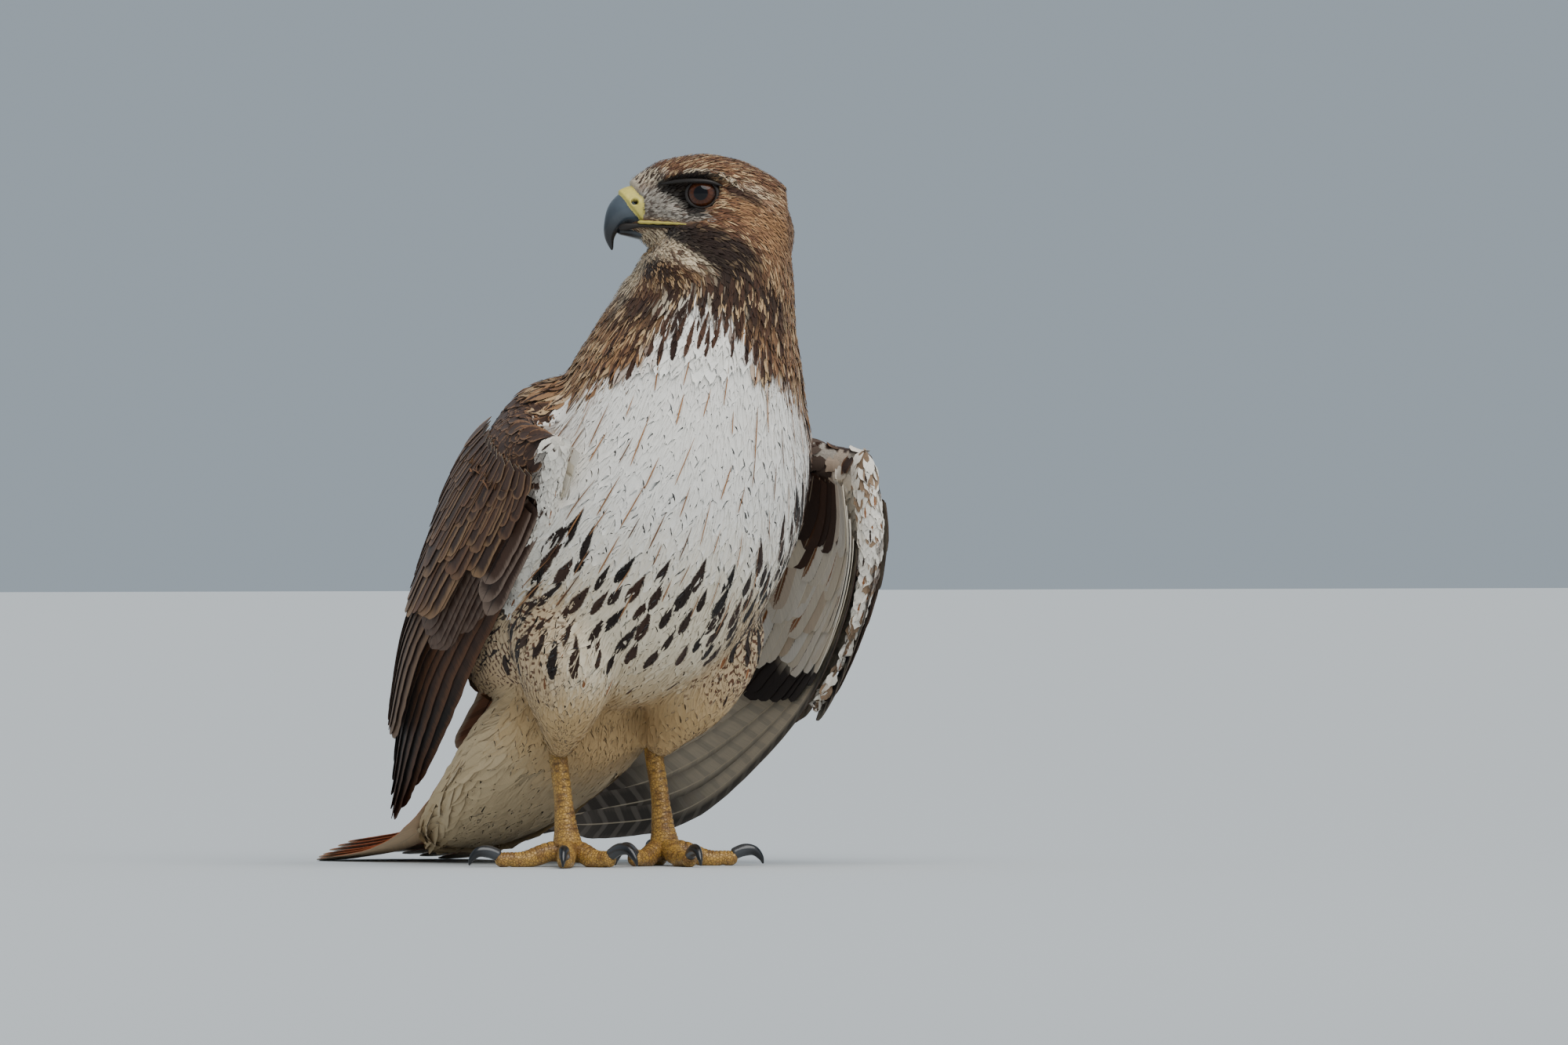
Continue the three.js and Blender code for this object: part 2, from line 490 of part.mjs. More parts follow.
// Finishes
const finish = (color, roughness) => new THREE.MeshStandardMaterial({ color, roughness, metalness: 0 });
const LOOKS = {
  brown: finish("#6b4e3b", 0.85),
  white: finish("#e4dfd6", 0.9),
  buff: finish("#c9b79a", 0.9),
  dark: finish("#3a2c24", 0.8),
  red: finish("#a9603a", 0.8),
  yellow: finish("#c9a24d", 0.6),
  horn: finish("#34383c", 0.35),
  cere: finish("#d0c25a", 0.5),
  eye: finish("#4a2a20", 0.1),
};

// A solid as a named mesh
function pieceOf(name, solid, look) {
  const { vertProperties, triVerts, numProp } = solid.getMesh();
  const points = new Float32Array((vertProperties.length / numProp) * 3);
  for (let i = 0; i * numProp < vertProperties.length; i++)
    points.set(vertProperties.subarray(i * numProp, i * numProp + 3), i * 3);
  const geometry = new THREE.BufferGeometry();
  geometry.setAttribute("position", new THREE.BufferAttribute(points, 3));
  geometry.setIndex(new THREE.BufferAttribute(triVerts, 1));
  geometry.computeVertexNormals();
  const mesh = new THREE.Mesh(geometry, LOOKS[look]);
  mesh.name = name;
  return mesh;
}

const hawk = new THREE.Group();
hawk.add(pieceOf("torso", torso, "white"), pieceOf("neck", neck, "brown"), pieceOf("tail", largest(tail), "red"));

const headGroup = new THREE.Group();
headGroup.position.copy(HEAD_AT);
headGroup.rotation.z = HEAD_TURN;
headGroup.add(
  pieceOf("head", head, "brown"),
  pieceOf("cere", largest(cere), "cere"),
  pieceOf("bill_upper", horn, "horn"),
  pieceOf("bill_lower", jaw, "horn"),
);
for (const [side, name] of [[1, "left"], [-1, "right"]]) {
  headGroup.add(pieceOf(`eye_${name}`, eyeBall(side), "eye"));
  const line = bothSides(GAPE_LINE)[side === 1 ? 0 : 1];
  const gape = largest(limb(line, GAPE_SIZE, gapeOptions).subtract(billRoom).subtract(jawRoom));
  headGroup.add(pieceOf(`gape_${name}`, gape, "cere"));
}
hawk.add(headGroup);

for (const name of ["left", "right"]) {
  hawk.add(
    pieceOf(`wing_${name}_arm`, arms[name], "brown"),
    pieceOf(`wing_${name}_secondaries`, flight[name].secondaries, "dark"),
    pieceOf(`wing_${name}_primaries`, flight[name].primaries, "dark"),
    pieceOf(`thigh_${name}`, thighs[name], "buff"),
    pieceOf(`tarsus_${name}`, shanks[name], "yellow"),
  );
  const footGroup = new THREE.Group();
  footGroup.applyMatrix4(feet[name].place);
  footGroup.add(pieceOf(`foot_${name}`, feet[name].foot, "yellow"));
  for (const [toe, claw] of Object.entries(feet[name].claws))
    footGroup.add(pieceOf(`claw_${name}_${toe}`, claw, "horn"));
  hawk.add(footGroup);
}

// The frame's origin is on the floor, under the middle of the whole bird
const box = new THREE.Box3().setFromObject(hawk, true);
hawk.position.set(-(box.min.x + box.max.x) / 2, -(box.min.y + box.max.y) / 2, -box.min.z);

export default hawk;
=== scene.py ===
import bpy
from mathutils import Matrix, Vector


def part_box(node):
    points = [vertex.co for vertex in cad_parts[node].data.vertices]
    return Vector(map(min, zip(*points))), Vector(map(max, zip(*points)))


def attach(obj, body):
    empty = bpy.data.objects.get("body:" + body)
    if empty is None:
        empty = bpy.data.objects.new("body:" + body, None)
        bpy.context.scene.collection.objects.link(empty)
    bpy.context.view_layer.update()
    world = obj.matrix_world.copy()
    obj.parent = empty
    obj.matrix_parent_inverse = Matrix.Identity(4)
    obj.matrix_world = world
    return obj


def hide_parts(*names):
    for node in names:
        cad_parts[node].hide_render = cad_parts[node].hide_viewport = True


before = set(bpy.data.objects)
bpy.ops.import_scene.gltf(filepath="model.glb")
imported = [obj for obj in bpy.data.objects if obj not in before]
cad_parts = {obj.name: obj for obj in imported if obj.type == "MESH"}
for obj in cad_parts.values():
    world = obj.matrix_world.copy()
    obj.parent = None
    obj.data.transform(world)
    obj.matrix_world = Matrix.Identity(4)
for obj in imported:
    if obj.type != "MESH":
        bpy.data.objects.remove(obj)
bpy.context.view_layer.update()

import math
from collections import namedtuple
from itertools import product

import bpy
import numpy as np
from mathutils import Vector
from mathutils.bvhtree import BVHTree

# A red-tailed hawk, in millimetres until a mesh is made: breast to -Y, the bird's left to +X, +Z up.

rng = np.random.default_rng(11)

# The same sizes as the part's
TRUNK_LINE = [
    (0, 98, 88), (0, 74, 103), (0, 44, 118), (0, 14, 134), (0, -14, 158), (0, -38, 188),
    (0, -56, 218), (0, -68, 247), (1, -77, 272), (3, -84, 294), (4, -85, 314), (2, -81, 332), (0, -79, 348),
]
TRUNK_SIZE = [
    (24, 14), (43, 28), (59, 45), (69, 61), (76, 72), (77, 74), (72, 68), (61, 59), (52, 51), (42.5, 43),
    (38, 38), (28, 29), (20, 21),
]
SHOULDER = ((48, -16, 198), (38, 46, 54))
VENT_LINE = [(0, 10, 84), (0, 50, 66), (0, 96, 36), (0, 134, 15), (0, 150, 10)]
VENT_SIZE = [(40, 26), (49, 31), (44, 22), (32, 10), (20, 3.5)]
HEAD_AT = np.array([2.0, -81.0, 332.0])
HEAD_TURN = math.radians(153)
HEAD_LINE = [
    (-45, 0, -10), (-37, 0, -10), (-24, 0, -6), (-10, 0, -2.7), (4, 0, 0), (16, 0, 2), (27, 0, 3.5),
    (36, 0, 3.5), (43, 0, 2.5), (47, 0, 2),
]
HEAD_SIZE = [
    (12, 12), (24, 21.5), (31, 28), (34, 31.3), (32.5, 30.8), (26, 28), (19, 23.5), (14, 18.5), (11, 13),
    (9, 10),
]
BROW_LINE = [(30, 12, 16), (21, 18.5, 18.5), (10, 25, 19.5), (-2, 29, 18), (-13, 29, 14)]
BROW_SIZE = [(2, 2), (3.4, 3), (4, 3.4), (3.4, 3), (2, 2)]
LORE = ((20, 28, 6.5), (13, 9, 8))
EYE_AT, EYE_RADIUS, EYE_OPENING = (5.5, 21.5, 9.6), 9.2, 7.6
EYE_AIM = np.array([0.33, 0.94, 0.02]) / np.linalg.norm([0.33, 0.94, 0.02])
BILL_LINE = [(29, 0, 2), (38, 0, 3), (45, 0, 0.2), (49.3, 0, -6), (50.8, 0, -12), (49.6, 0, -18.8)]
BILL_SIZE = [(10.5, 11.5), (9.2, 10.4), (7.4, 7.6), (5, 4.6), (2.9, 2.7), (0.6, 0.6)]
CERE_FACE = (0.805, -0.592, 31.1)
NOSTRIL = (38.2, 8.6, 5.5)
JAW_LINE = [(24, 0, -11.5), (33, 0, -10.4), (41, 0, -9.2), (47.5, 0, -9)]
JAW_SIZE = [(9, 4.4), (7.4, 3.8), (5.4, 3), (2.4, 1.6)]
GAPE_LINE = [(38, 10.6, -5.2), (29, 16.2, -5.6), (19, 23, -6.2), (11, 28.6, -7.2)]
THIGH_LINE = [(46, -16, 142), (44.5, -19, 116), (39, -12, 90), (32, 2, 67), (29, 10, 54)]
THIGH_SIZE = [(24, 28), (28, 33), (23, 26), (12, 13.5), (6.8, 7.4)]
SHANK_LINE = [(29.4, 9.5, 76), (29.6, 9, 60), (30, 4, 38), (30, 1, 20), (30, -1, 9)]
SHANK_SIZE = [(4.6, 5), (4.6, 5), (4.4, 5), (5.6, 6.4), (8, 8.6)]
FEET = {"right": ((-29, 0), -125, -1), "left": ((30, 0), -108, 1)}
TOES = {
    "hallux": (23, 176, 4.2, 27), "inner": (31, -48, 4.3, 25), "middle": (44, 2, 4.1, 23),
    "outer": (38, 80, 3.9, 20),
}
WINGS = {
    "right": (
        [
            (-92, -90, 220), (-86, -60, 184), (-82, -20, 148), (-72, 30, 106), (-58, 78, 70), (-41, 132, 42),
            (-20, 188, 23),
        ],
        [
            (-88, -58, 226), (-88, -12, 194), (-85, 31, 156), (-77, 73, 116), (-60, 112, 79), (-40, 150, 48),
            (-18, 189, 24),
        ],
        [
            (-68, -22, 236), (-68, 25, 212), (-56, 66, 179), (-42, 102, 143), (-30, 136, 102), (-22, 166, 58),
            (-16, 190, 25),
        ],
    ),
    "left": (
        [
            (90, -94, 216), (107, -77, 156), (113, -36, 94), (112, 17, 50), (105, 80, 17), (89, 134, 11),
            (71, 182, 15),
        ],
        [
            (97, -60, 216), (111, -31, 177), (116, 14, 134), (115, 62, 96), (103, 108, 61), (88, 148, 37),
            (72, 183, 17),
        ],
        [
            (72, -22, 229), (72, 26, 209), (64, 70, 174), (56, 106, 134), (54, 138, 90), (62, 163, 48),
            (73, 184, 19),
        ],
    ),
}
ARM_END, ARM_TOP, ARM_UNDER = 0.155, 9.6, 13.4
TAIL = dict(root=(0, 64, 114.4), steep=52, shallow=6, bend=(0.35, 0.78), length=212)
TAIL_HALF, TAIL_HANG = (16, 47), 4
COAT = 2.4  # how far the skin lies inside the part's soft forms
VOXEL = 0.0016  # metres
SMOOTH_ALL, SMOOTH_LOW = 4, 60  # rounds of smoothing, everywhere and below the neck
WHITE_TOP = 262  # height at which the white front ends
SHORT_FEATHER = 10  # shorter ones have fewer points
TRIES = dict(coat=190000, wisps=260000, shafts=16000, belly=20000, collar=16000, thigh=8000)
BAKE_PATCH = 0.003


def rgb(code):
    """An sRGB hex colour as linear values."""
    value = np.array([int(code[i : i + 2], 16) / 255 for i in (1, 3, 5)])
    return np.where(value <= 0.04045, value / 12.92, ((value + 0.055) / 1.055) ** 2.4)


def unit(v):
    return v / np.maximum(np.linalg.norm(v, axis=-1, keepdims=True), 1e-9)


def dot(a, b):
    return (a * b).sum(-1)


def step(low, high, value):
    t = np.clip((value - low) / (high - low), 0, 1)
    return t * t * (3 - 2 * t)


def mix(a, b, t):
    return a + (b - a) * t


def blend(a, b, weight):
    """Colours a and b mixed by a weight each."""
    return a + (b - a) * np.asarray(weight)[..., None]


class Curve:
    """A smooth line through points, the same as the part's."""

    def __init__(self, points):
        p = np.array(points, float)
        self.p = np.vstack([2 * p[0] - p[1], p, 2 * p[-1] - p[-2]])
        self.n = len(p)

    def at(self, t):
        s = np.clip(np.atleast_1d(t), 0, 1) * (self.n - 1)
        i = np.minimum(s.astype(int), self.n - 2)
        w = (s - i)[:, None]
        x0, x1, x2, x3 = (self.p[i + k] for k in range(4))
        d0, d1, d2 = (
            np.maximum(((a - b) ** 2).sum(1), 1e-8)[:, None] ** 0.25
            for a, b in ((x0, x1), (x1, x2), (x2, x3))
        )
        m1 = ((x1 - x0) / d0 - (x2 - x0) / (d0 + d1) + (x2 - x1) / d1) * d1
        m2 = ((x2 - x1) / d1 - (x3 - x1) / (d1 + d2) + (x3 - x2) / d2) * d1
        return (((2 * x1 - 2 * x2 + m1 + m2) * w + (-3 * x1 + 3 * x2 - 2 * m1 - m2)) * w + m1) * w + x1

    def tangent(self, t):
        t = np.clip(np.atleast_1d(t), 0, 1)
        return unit(self.at(t + 1e-3) - self.at(t - 1e-3))


def turned(p, angle):
    """Points turned about the upright axis."""
    c, s = math.cos(angle), math.sin(angle)
    return np.stack([c * p[..., 0] - s * p[..., 1], s * p[..., 0] + c * p[..., 1], p[..., 2]], -1)


def head_to_bird(p):
    """From the head's frame (x to the bill, y left, z up) to the bird's."""
    return turned(np.asarray(p, float), HEAD_TURN) + HEAD_AT


def bird_to_head(p):
    return turned(np.asarray(p, float) - HEAD_AT, -HEAD_TURN)


low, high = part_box("eye_left")
SHIFT = (np.array(low) + np.array(high)) * 500 - head_to_bird(EYE_AT)


def eye_frame(s):
    """Centre and aim of the left eye (s = 1) or the right one (s = -1) in the head's frame."""
    return np.array([EYE_AT[0], s * EYE_AT[1], EYE_AT[2]]), EYE_AIM * np.array([1, s, 1])


def from_eye(q, s):
    """The eye's aim, and how far each place is along it and off it."""
    centre, aim = eye_frame(s)
    away = q - centre
    along = dot(away, aim)
    return aim, along, np.linalg.norm(away - along[:, None] * aim, axis=1)


def mirrored(points, side):
    return [(side * x, y, z) for x, y, z in points]


def grid_faces(rows, cols, wrap=False):
    """Quads between rows x cols points, joined round where it wraps."""
    i, j = np.meshgrid(np.arange(rows - 1), np.arange(cols if wrap else cols - 1), indexing="ij")
    k = (j + 1) % cols
    return np.stack([i * cols + j, (i + 1) * cols + j, (i + 1) * cols + k, i * cols + k], -1).reshape(-1, 4)


def limb(points, sizes, side=(1, 0, 0), around=32, along=28, ends=(0.12, 0.12), swell=None):
    """A round body along a line, closed at both poles, and each point's (t, angle). swell moves it out."""
    line, size = Curve(points), Curve([(a, b, 0) for a, b in sizes])
    t = (1 - np.cos(np.pi * np.linspace(0, 1, along + 1))) / 2
    near = np.minimum(1, np.minimum(t / ends[0], (1 - t) / ends[1]))
    round_ = np.sqrt(np.clip(1 - (1 - near) ** 2, 0, None))[:, None]
    ahead = line.tangent(t)
    side = np.array(side, float)
    across = unit(side - ahead * dot(ahead, side)[:, None])
    deep = np.cross(ahead, across)
    angle = 2 * np.pi * np.arange(around) / around
    ab = size.at(t)
    extra = swell(t[:, None], angle[None, :]) if swell else 0
    a = (ab[:, 0:1] + extra) * round_ * np.cos(angle)
    b = (ab[:, 1:2] + extra) * round_ * np.sin(angle)
    p = line.at(t)[:, None, :] + a[..., None] * across[:, None, :] + b[..., None] * deep[:, None, :]
    places = np.stack(np.broadcast_arrays(t[:, None], angle[None, :]), -1).reshape(-1, 2)
    return p.reshape(-1, 3), grid_faces(along + 1, around, wrap=True), places


def add_mesh(name, verts, faces, smooth=True):
    """A mesh object from points in millimetres in the bird's frame."""
    mesh = bpy.data.meshes.new(name)
    mesh.from_pydata(((np.asarray(verts) + SHIFT) / 1000).tolist(), [], [list(map(int, f)) for f in faces])
    mesh.validate()
    mesh.polygons.foreach_set("use_smooth", np.full(len(mesh.polygons), smooth))
    mesh.update()
    item = bpy.data.objects.new(name, mesh)
    bpy.context.scene.collection.objects.link(item)
    return item


def merged(parts):
    """Several (verts, faces) as one."""
    verts, faces, count = [], [], 0
    for v, f, *_ in parts:
        verts.append(v)
        faces.extend([int(k) + count for k in face] for face in f)
        count += len(v)
    return np.concatenate(verts), faces


class Surface:
    """The wing, or the tail, as a surface of u (root to tip) and v (leading edge to trailing edge)."""

    def __init__(self, rails, side):
        self.rails, self.side = [Curve(r) for r in rails], side

    def point(self, u, v):
        u, v = np.broadcast_arrays(np.asarray(u, float), np.asarray(v, float))
        shape, u, v = u.shape, u.ravel(), v.ravel()[:, None]
        lead, middle, trail = (r.at(u) for r in self.rails)
        p = lead * (1 - v) * (1 - 2 * v) + middle * 4 * v * (1 - v) + trail * v * (2 * v - 1)
        return p.reshape(*shape, 3)

    def normal(self, u, v):
        u = np.clip(u, 0, 0.94)
        over_u = self.point(np.minimum(u + 0.02, 1), v) - self.point(np.maximum(u - 0.02, 0), v)
        over_v = self.point(u, v + 0.02) - self.point(u, v - 0.02)
        return unit(np.cross(over_u, over_v)) * self.side


class TailSurface(Surface):
    def __init__(self):
        n = 60
        bent = step(*TAIL["bend"], (np.arange(n) + 0.5) / n)
        slope = np.radians(mix(TAIL["steep"], TAIL["shallow"], bent))
        run = np.stack([0 * slope, np.cos(slope), -np.sin(slope)], 1) * TAIL["length"] / n
        self.line = Curve(np.vstack([TAIL["root"], TAIL["root"] + np.cumsum(run, 0)]))

    def point(self, u, v):
        u, v = np.broadcast_arrays(np.asarray(u, float), np.asarray(v, float))
        s = (2 * v - 1)[..., None]
        half = mix(*TAIL_HALF, np.clip(u, 0, 1) ** 0.8)[..., None]
        middle = self.line.at(u.ravel()).reshape(*u.shape, 3)
        return middle + s * half * np.array([1.0, 0, 0]) + s * s * np.array([0, 0, -TAIL_HANG])

    def normal(self, u, v):
        u, v = np.broadcast_arrays(np.asarray(u, float), np.asarray(v, float))
        ahead = self.line.tangent(u.ravel()).reshape(*u.shape, 3)
        return np.stack([0 * u, -ahead[..., 2], ahead[..., 1]], -1)


wing = {name: Surface(rails, 1 if name == "left" else -1) for name, rails in WINGS.items()}
tail_surface = TailSurface()


def core_of(surface):
    """The fleshy front of a wing as a closed slab."""
    u, v = np.meshgrid(np.linspace(0, ARM_END, 13), np.linspace(0, 1, 17), indexing="ij")
    edge = np.sqrt(np.maximum(0.06, 1 - (2 * v - 1) ** 4))
    front = np.sqrt(np.maximum(0.05, 1 - (1 - np.minimum(1, u / 0.05)) ** 2))
    p, n = surface.point(u, v), surface.normal(u, v)
    top = p + n * ((ARM_TOP - 1.5) * edge * front)[..., None]
    under = p - n * ((ARM_UNDER - 1.5) * edge * front)[..., None]
    rows, cols = u.shape
    shell = np.concatenate([top, under[:, ::-1]], 1)
    faces = grid_faces(rows, 2 * cols, wrap=True).tolist()
    for row, turn in ((0, 1), (rows - 1, -1)):
        ring = list(range(row * 2 * cols, (row + 1) * 2 * cols))
        faces.append(ring[::turn])
    return shell.reshape(-1, 3), faces


EDGE_U = np.array([0, 0.05, 0.12, 0.2, 0.27, 0.33, 0.38])
EDGE_V = np.array([0.035, 0.03, 0.01, -0.005, -0.01, -0.005, 0])
EDGE_LEVEL = np.array([-2, -2, -2, -2, -2.5, -3, -3.5])
EDGE_SIZE = [(7, 5), (9, 6.5), (9, 6.5), (7.6, 5.6), (5.4, 4.2), (3.2, 2.8), (1.2, 1)]


def edge_of(surface):
    """The fleshy rim along the front of a wing, from the wrist out along the hand."""
    at_v = EDGE_V - (0.035 * step(0.08, 0.2, EDGE_U) if surface.side < 0 else 0)
    line = surface.point(EDGE_U, at_v) + surface.normal(EDGE_U, at_v) * EDGE_LEVEL[:, None]
    return limb(line.tolist(), EDGE_SIZE, side=surface.normal(0.15, 0.03), around=28, along=44)


def ellipsoid(centre, radii, lean):
    u, v = np.meshgrid(np.linspace(0, np.pi, 25), 2 * np.pi * np.arange(40) / 40, indexing="ij")
    p = np.stack(
        [np.sin(u) * np.cos(v) * radii[0], np.sin(u) * np.sin(v) * radii[1], np.cos(u) * radii[2]], -1,
    )
    c, s = math.cos(lean), math.sin(lean)
    p = np.stack(
        [p[..., 0], c * p[..., 1] - s * p[..., 2], s * p[..., 1] + c * p[..., 2]], -1,
    ) + np.array(centre)
    return p.reshape(-1, 3), grid_faces(25, 40, wrap=True)


# Materials


class Value:
    """An output of a shader node, with which a shader's sums are written as sums."""

    def __init__(self, nodes, socket):
        self.nodes, self.socket = nodes, socket

    def __add__(self, other):
        return self.nodes.math("ADD", self, other)

    def __sub__(self, other):
        return self.nodes.math("SUBTRACT", self, other)

    def __rsub__(self, other):
        return self.nodes.math("SUBTRACT", other, self)

    def __mul__(self, other):
        return self.nodes.math("MULTIPLY", self, other)

    def __truediv__(self, other):
        return self.nodes.math("DIVIDE", self, other)

    def __abs__(self):
        return self.nodes.math("ABSOLUTE", self)


class Nodes:
    """Short names for the shader nodes of one material."""

    def __init__(self, name):
        self.material = bpy.data.materials.new(name)
        self.material.use_nodes = True
        self.tree = self.material.node_tree
        self.shader = self.tree.nodes["Principled BSDF"]

    def new(self, kind):
        return self.tree.nodes.new("ShaderNode" + kind)

    def put(self, socket, value):
        if isinstance(value, Value):
            self.tree.links.new(value.socket, socket)
        elif socket.type == "RGBA":
            socket.default_value = (*value, 1)
        else:
            socket.default_value = value

    def math(self, operation, a, b=0.0, c=0.0):
        node = self.new("Math")
        node.operation = operation
        for socket, value in zip(node.inputs, (a, b, c)):
            self.put(socket, value)
        return Value(self, node.outputs[0])

    def ramp(self, value, low, high):
        node = self.new("MapRange")
        node.interpolation_type = "SMOOTHSTEP"
        for key, v in (("Value", value), ("From Min", low), ("From Max", high)):
            self.put(node.inputs[key], v)
        return Value(self, node.outputs["Result"])

    def mix(self, factor, a, b):
        node = self.new("Mix")
        node.data_type = "RGBA"
        self.put(node.inputs["Factor"], factor)
        for name, value in (("A", a), ("B", b)):
            self.put([s for s in node.inputs if s.name == name and s.type == "RGBA"][0], value)
        return Value(self, [s for s in node.outputs if s.type == "RGBA"][0])

    def attribute(self, name, vector=False):
        node = self.new("Attribute")
        node.attribute_name = name
        return Value(self, node.outputs["Vector" if vector else "Color"])

    def split(self, vector):
        node = self.new("SeparateXYZ")
        self.put(node.inputs[0], vector)
        return [Value(self, output) for output in node.outputs[:3]]

    def join(self, x, y, z):
        node = self.new("CombineXYZ")
        for socket, value in zip(node.inputs, (x, y, z)):
            self.put(socket, value)
        return Value(self, node.outputs[0])

    def clamp(self, value):
        node = self.new("Clamp")
        self.put(node.inputs[0], value)
        return Value(self, node.outputs[0])

    def noise(self, vector, scale=1.0, detail=2.0):
        node = self.new("TexNoise")
        self.put(node.inputs["Vector"], vector)
        node.inputs["Scale"].default_value = scale
        node.inputs["Detail"].default_value = detail
        return Value(self, node.outputs["Fac"])

    def cells(self, vector, scale):
        node = self.new("TexVoronoi")
        node.feature = "DISTANCE_TO_EDGE"
        self.put(node.inputs["Vector"], vector)
        node.inputs["Scale"].default_value = scale
        return Value(self, node.outputs["Distance"])

    def place(self):
        return Value(self, self.new("TexCoord").outputs["Object"])

    def brighten(self, colour, by):
        node = self.new("HueSaturation")
        self.put(node.inputs["Color"], colour)
        self.put(node.inputs["Value"], by)
        return Value(self, node.outputs[0])

    def bump(self, height, distance, strength=1.0):
        node = self.new("Bump")
        for key, value in (("Height", height), ("Distance", distance / 1000), ("Strength", strength)):
            self.put(node.inputs[key], value)
        self.tree.links.new(node.outputs[0], self.shader.inputs["Normal"])

    def finish(self, colour, roughness, specular=0.4, coat=0.0, sheen=0.0):
        for key, value in (
            ("Base Color", colour), ("Roughness", roughness), ("Specular IOR Level", specular),
            ("Coat Weight", coat), ("Coat Roughness", 0.05), ("Sheen Weight", sheen),
            ("Sheen Roughness", 0.5),
        ):
            self.put(self.shader.inputs[key], value)
        return self.material


def feather_material(name, contrast, roughness, sheen):
    """Vanes: barbs out from a shaft, with the streak, bars and pale fringe of each feather's own values."""
    n = Nodes(name)
    across, along, seed = n.split(n.attribute("vane", True))
    half, length, period = n.split(n.attribute("dims", True))
    streak, bars, fringe = n.split(n.attribute("pattern", True))
    drop_across, drop_along, drop_near = n.split(n.attribute("drop", True))
    off = abs(across)
    out_mm = off * half
    along_mm = along * length
    barb = along_mm - out_mm * 0.9
    fine = n.noise(n.join(barb * 1.1, out_mm * 0.08, seed * 91.0))
    soft = n.noise(n.join(barb * 0.35, out_mm * 0.1, seed * 57.0))
    wave = n.math("SINE", barb / period * (2 * math.pi))
    bar = n.ramp(wave + (soft - 0.5) * 1.6, 0.25, 0.75) * bars
    reach = (n.ramp(along, 0.15, 0.75) * n.ramp(along, 1.02, 0.9) * 0.8 + 0.2) * streak
    ragged = off + (fine - 0.5) * 0.3
    line = n.ramp(ragged - reach, 0.06, -0.06) * n.math("GREATER_THAN", streak, 0.005)
    grow = n.math("POWER", n.clamp((drop_along + 1.0) / 1.2), 0.9)
    end = n.clamp((drop_along - 0.2) / 0.8)
    full = grow * n.math("SQRT", 1.0 - end * end)
    frayed = abs(drop_across) + (fine - 0.5) * 0.7
    inside = n.ramp(frayed - full, 0.14, -0.14) * n.math("LESS_THAN", abs(drop_along), 1.0) * drop_near
    rim = n.math("MAXIMUM", n.ramp(ragged, 0.62, 0.95), n.ramp(along, 0.86, 0.97))
    shaft = n.ramp(out_mm, 0.5, 0.2) * n.ramp(length, 30.0, 60.0)
    colour = n.mix(n.math("MAXIMUM", bar, line), n.attribute("base"), n.attribute("mark"))
    for factor, over in ((rim * fringe, "edge"), (inside, "ink"), (shaft * 0.6, "shaft")):
        colour = n.mix(factor, colour, n.attribute(over))
    colour = n.brighten(colour, fine * contrast + (1 - contrast / 2))
    n.bump(fine + shaft * 2.0, 0.14, 0.6)
    return n.finish(colour, roughness, specular=0.25, sheen=sheen)


def scale_material():
    """Yellow scaly skin: small plates all over, and the large ones of the front as the mesh has them, with
    painted shade in the grooves between plates.
    """
    n = Nodes("scaly yellow skin")
    plate = n.ramp(n.cells(n.place(), 620.0), 0.02, 0.14)
    stain = n.noise(n.place(), 160.0, 4.0)
    colour = n.mix(n.ramp(stain, 0.42, 0.66), rgb("#b98f45"), rgb("#8a6432"))
    # painted shade: darker in the grooves between the large plates, where each point's value says so
    colour = n.mix(n.attribute("tip_tone_and_hollow_shade"), colour, rgb("#4c3218"))
    # painted shade: each small plate darker towards its edges, in the fine grooves between them
    colour = n.mix(0.55 - plate * 0.55, colour, rgb("#5d4121"))
    n.bump(plate, 0.35, 0.8)
    return n.finish(colour, 0.42, 0.5)


def grainy_material(name, colours, grain, bump, darkest, *finish):
    """A bare surface with a fine grain. No colour means each point's own; two are mixed by each point's
    value, which gives a horn its dark tip and the cere painted shade inside its nostrils.
    """
    n = Nodes(name)
    speck = n.noise(n.place(), *grain)
    n.bump(speck, *bump)
    colour = n.mix(n.attribute("tip_tone_and_hollow_shade"), *colours) if len(colours) == 2 else (
        colours or [n.attribute("base")]
    )[0]
    return n.finish(n.brighten(colour, speck * 0.4 + darkest), *finish)


PALE_FEATHER = feather_material("soft pale feathers", 0.16, 0.8, 0.12)
DARK_FEATHER = feather_material("brown contour feathers", 0.5, 0.75, 0.1)
STIFF_FEATHER = feather_material("flight feathers", 0.35, 0.6, 0.05)
COAT_MATERIAL = dict(feather_brown=DARK_FEATHER, feather_white=PALE_FEATHER, feather_buff=PALE_FEATHER)
SCALES = scale_material()
SKIN = grainy_material("downy skin", [], (900.0, 3.0), (0.5, 0.8), 0.65, 0.9, 0.1, 0.0, 0.2)
HORN_LOOK = (260.0, 5.0), (0.08, 0.5), 0.8
HORN = grainy_material("bill horn", [rgb("#4b555e"), rgb("#141518")], *HORN_LOOK, 0.3, 0.5, 0.25)
CLAW = grainy_material("claw horn", [rgb("#3b3d40"), rgb("#101012")], *HORN_LOOK, 0.28, 0.5, 0.25)
# the second colour, near black, is painted shade inside the nostrils
CERE = grainy_material(
    "waxy cere", [rgb("#cbbc60"), rgb("#120d08")], (700.0, 3.0), (0.12, 0.6), 0.8, 0.4, 0.5,
)
BARE_LOOK = (200.0, 4.0), (0.1, 0.6), 0.8
GAPE = grainy_material("gape skin", [rgb("#b4a552")], *BARE_LOOK, 0.45, 0.5)
LID = grainy_material("eyelid skin", [rgb("#1f1813")], *BARE_LOOK, 0.6, 0.5)
# near black: partly the ridge's own dark skin, partly painted shade of the overhang
BROW = grainy_material("bare brow ridge", [rgb("#1c1612")], *BARE_LOOK, 0.5, 0.4)



